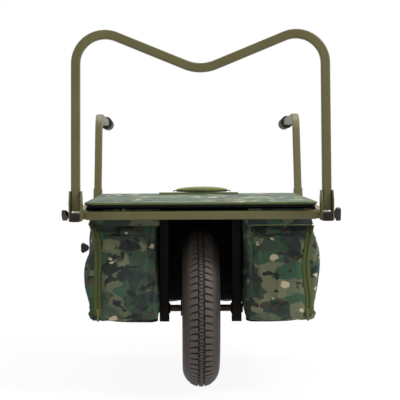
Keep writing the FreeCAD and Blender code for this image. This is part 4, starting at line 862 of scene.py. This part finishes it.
def padded_lid():
    """Foam pad of the lid: printed canvas on top, crowned inside its piping, over a black edge band."""
    low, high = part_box("lid_pad_cover")
    middle = (low + high) / 2
    half = (high - low) / 2
    edge = 3 * MM
    outline = rounded_outline(half.x - edge, half.y - edge, PAD_CORNER - edge, 12)
    rings = []
    for share, grow in ((0.03, 0.0), (0.5, 1.0 * MM), (0.88, 0.0)):
        rings.append([
            Vector((middle.x + x * (1 + grow / half.x), middle.y + y * (1 + grow / half.y),
                    lid_top(middle.y + y) - PAD_THICKNESS * (1 - share)))
            for x, y in outline
        ])
    steps = 46
    for k in range(1, steps + 1):
        share = 1 - (k / steps)
        ring = []
        for x, y in outline:
            px, py = x * max(share, 0.002), y * max(share, 0.002)
            crown = 1 - max(abs(px) / half.x, abs(py) / half.y) ** 6
            height = crown * 2.0 * MM
            height += noise.noise(Vector((px * 7, py * 6, 0.4))) * 1.6 * MM * crown
            height += noise.noise(Vector((px * 16 + 3, py * 9, 4.4))) * 0.8 * MM * crown
            ring.append(Vector((middle.x + px, middle.y + py, lid_top(middle.y + py) - 1.1 * MM + height)))
        rings.append(ring)
    made = loft("lid_pad", rings, lid_painted_light_canvas, black_cloth)
    for face in made.data.polygons[:2 * len(outline)]:
        face.material_index = 1
    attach(made, "lid")
    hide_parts("lid_pad_cover")
    out, sunk = 1.004, 3.0 * MM      # the piping lies just outside the outline, under the top edge
    path = [
        Vector((middle.x + x * out, middle.y + y * out, lid_top(middle.y + y) - sunk))
        for x, y in outline
    ]
    line = []
    for a, b in zip(path, path[1:] + path[:1]):
        pieces = max(1, round((b - a).length / (12 * MM)))
        line += [a.lerp(b, j / pieces) for j in range(pieces)]
    piping = cord_mesh("lid_piping", line, PIPING_RADIUS, webbing, loop=True)
    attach(piping, "lid")


def carry_handle():
    """Padded sleeve on a webbing loop, sewn to the lid with a webbing patch."""
    strap_low, strap_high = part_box("carry_strap")
    grip_low, grip_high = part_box("carry_grip")
    y = (strap_low.y + strap_high.y) / 2
    width = strap_high.y - strap_low.y
    base = lid_top(y) + 6.5 * MM
    thick = 2.6 * MM
    end = strap_high.x
    shift = 9 * MM                   # the loop lies to the right of the middle
    foot = 82 * MM                   # from the loop's middle to each of its feet
    sleeve_half, sleeve_radius = 72 * MM, 8.2 * MM
    crown = grip_high.z - 7.5 * MM

    def height(x):
        """Height of the loop's middle line: steep at its feet and nearly flat between."""
        share = clamped((x - shift + foot) / (2 * foot))
        return base + 1.5 * MM + (crown - base - 1.5 * MM) * math.sin(math.pi * share) ** 0.3

    square = (-1, 0), (1, 0), (1, thick), (-1, thick)
    rows = []
    for k in range(49):
        x = shift - foot * math.cos(math.pi * k / 48)
        rows.append([Vector((x, y + width * 0.4 * s, height(x) + t)) for s, t in square])
    strap = loft("carry_loop", rows, webbing)
    rows = []
    for k in range(25):
        x = -end + 2 * end * k / 24
        under = lid_top(y) - 1 * MM
        rows.append([Vector((x, y + width / 2 * s, under + t / thick * 8 * MM)) for s, t in square])
    patch = loft("carry_patch", rows, webbing)
    rings = []
    for k in range(41):
        share = k / 40
        x = shift + sleeve_half * (2 * share - 1)
        fat = math.sin(math.pi * (0.03 + 0.94 * share)) ** 0.35
        z = height(x) + thick / 2
        ring = []
        for j in range(20):
            a = math.tau * j / 20
            deep, tall = SLEEVE_DEPTH * fat * math.cos(a), sleeve_radius * fat * math.sin(a)
            ring.append(Vector((x, y + deep, z + tall)))
        rings.append(ring)
    sleeve = loft("carry_sleeve", rings, sleeve_cloth)
    for made in (strap, patch, sleeve):
        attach(made, "lid")
    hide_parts("carry_strap")
    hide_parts("carry_grip")


# ---------------------------------------------------------------- everything together

studio()
tread_tyre()
for word, side in SIDES.items():
    side_pod(word, side)
    hanging_flap(word, side)
rear_compartment()
padded_lid()
carry_handle()
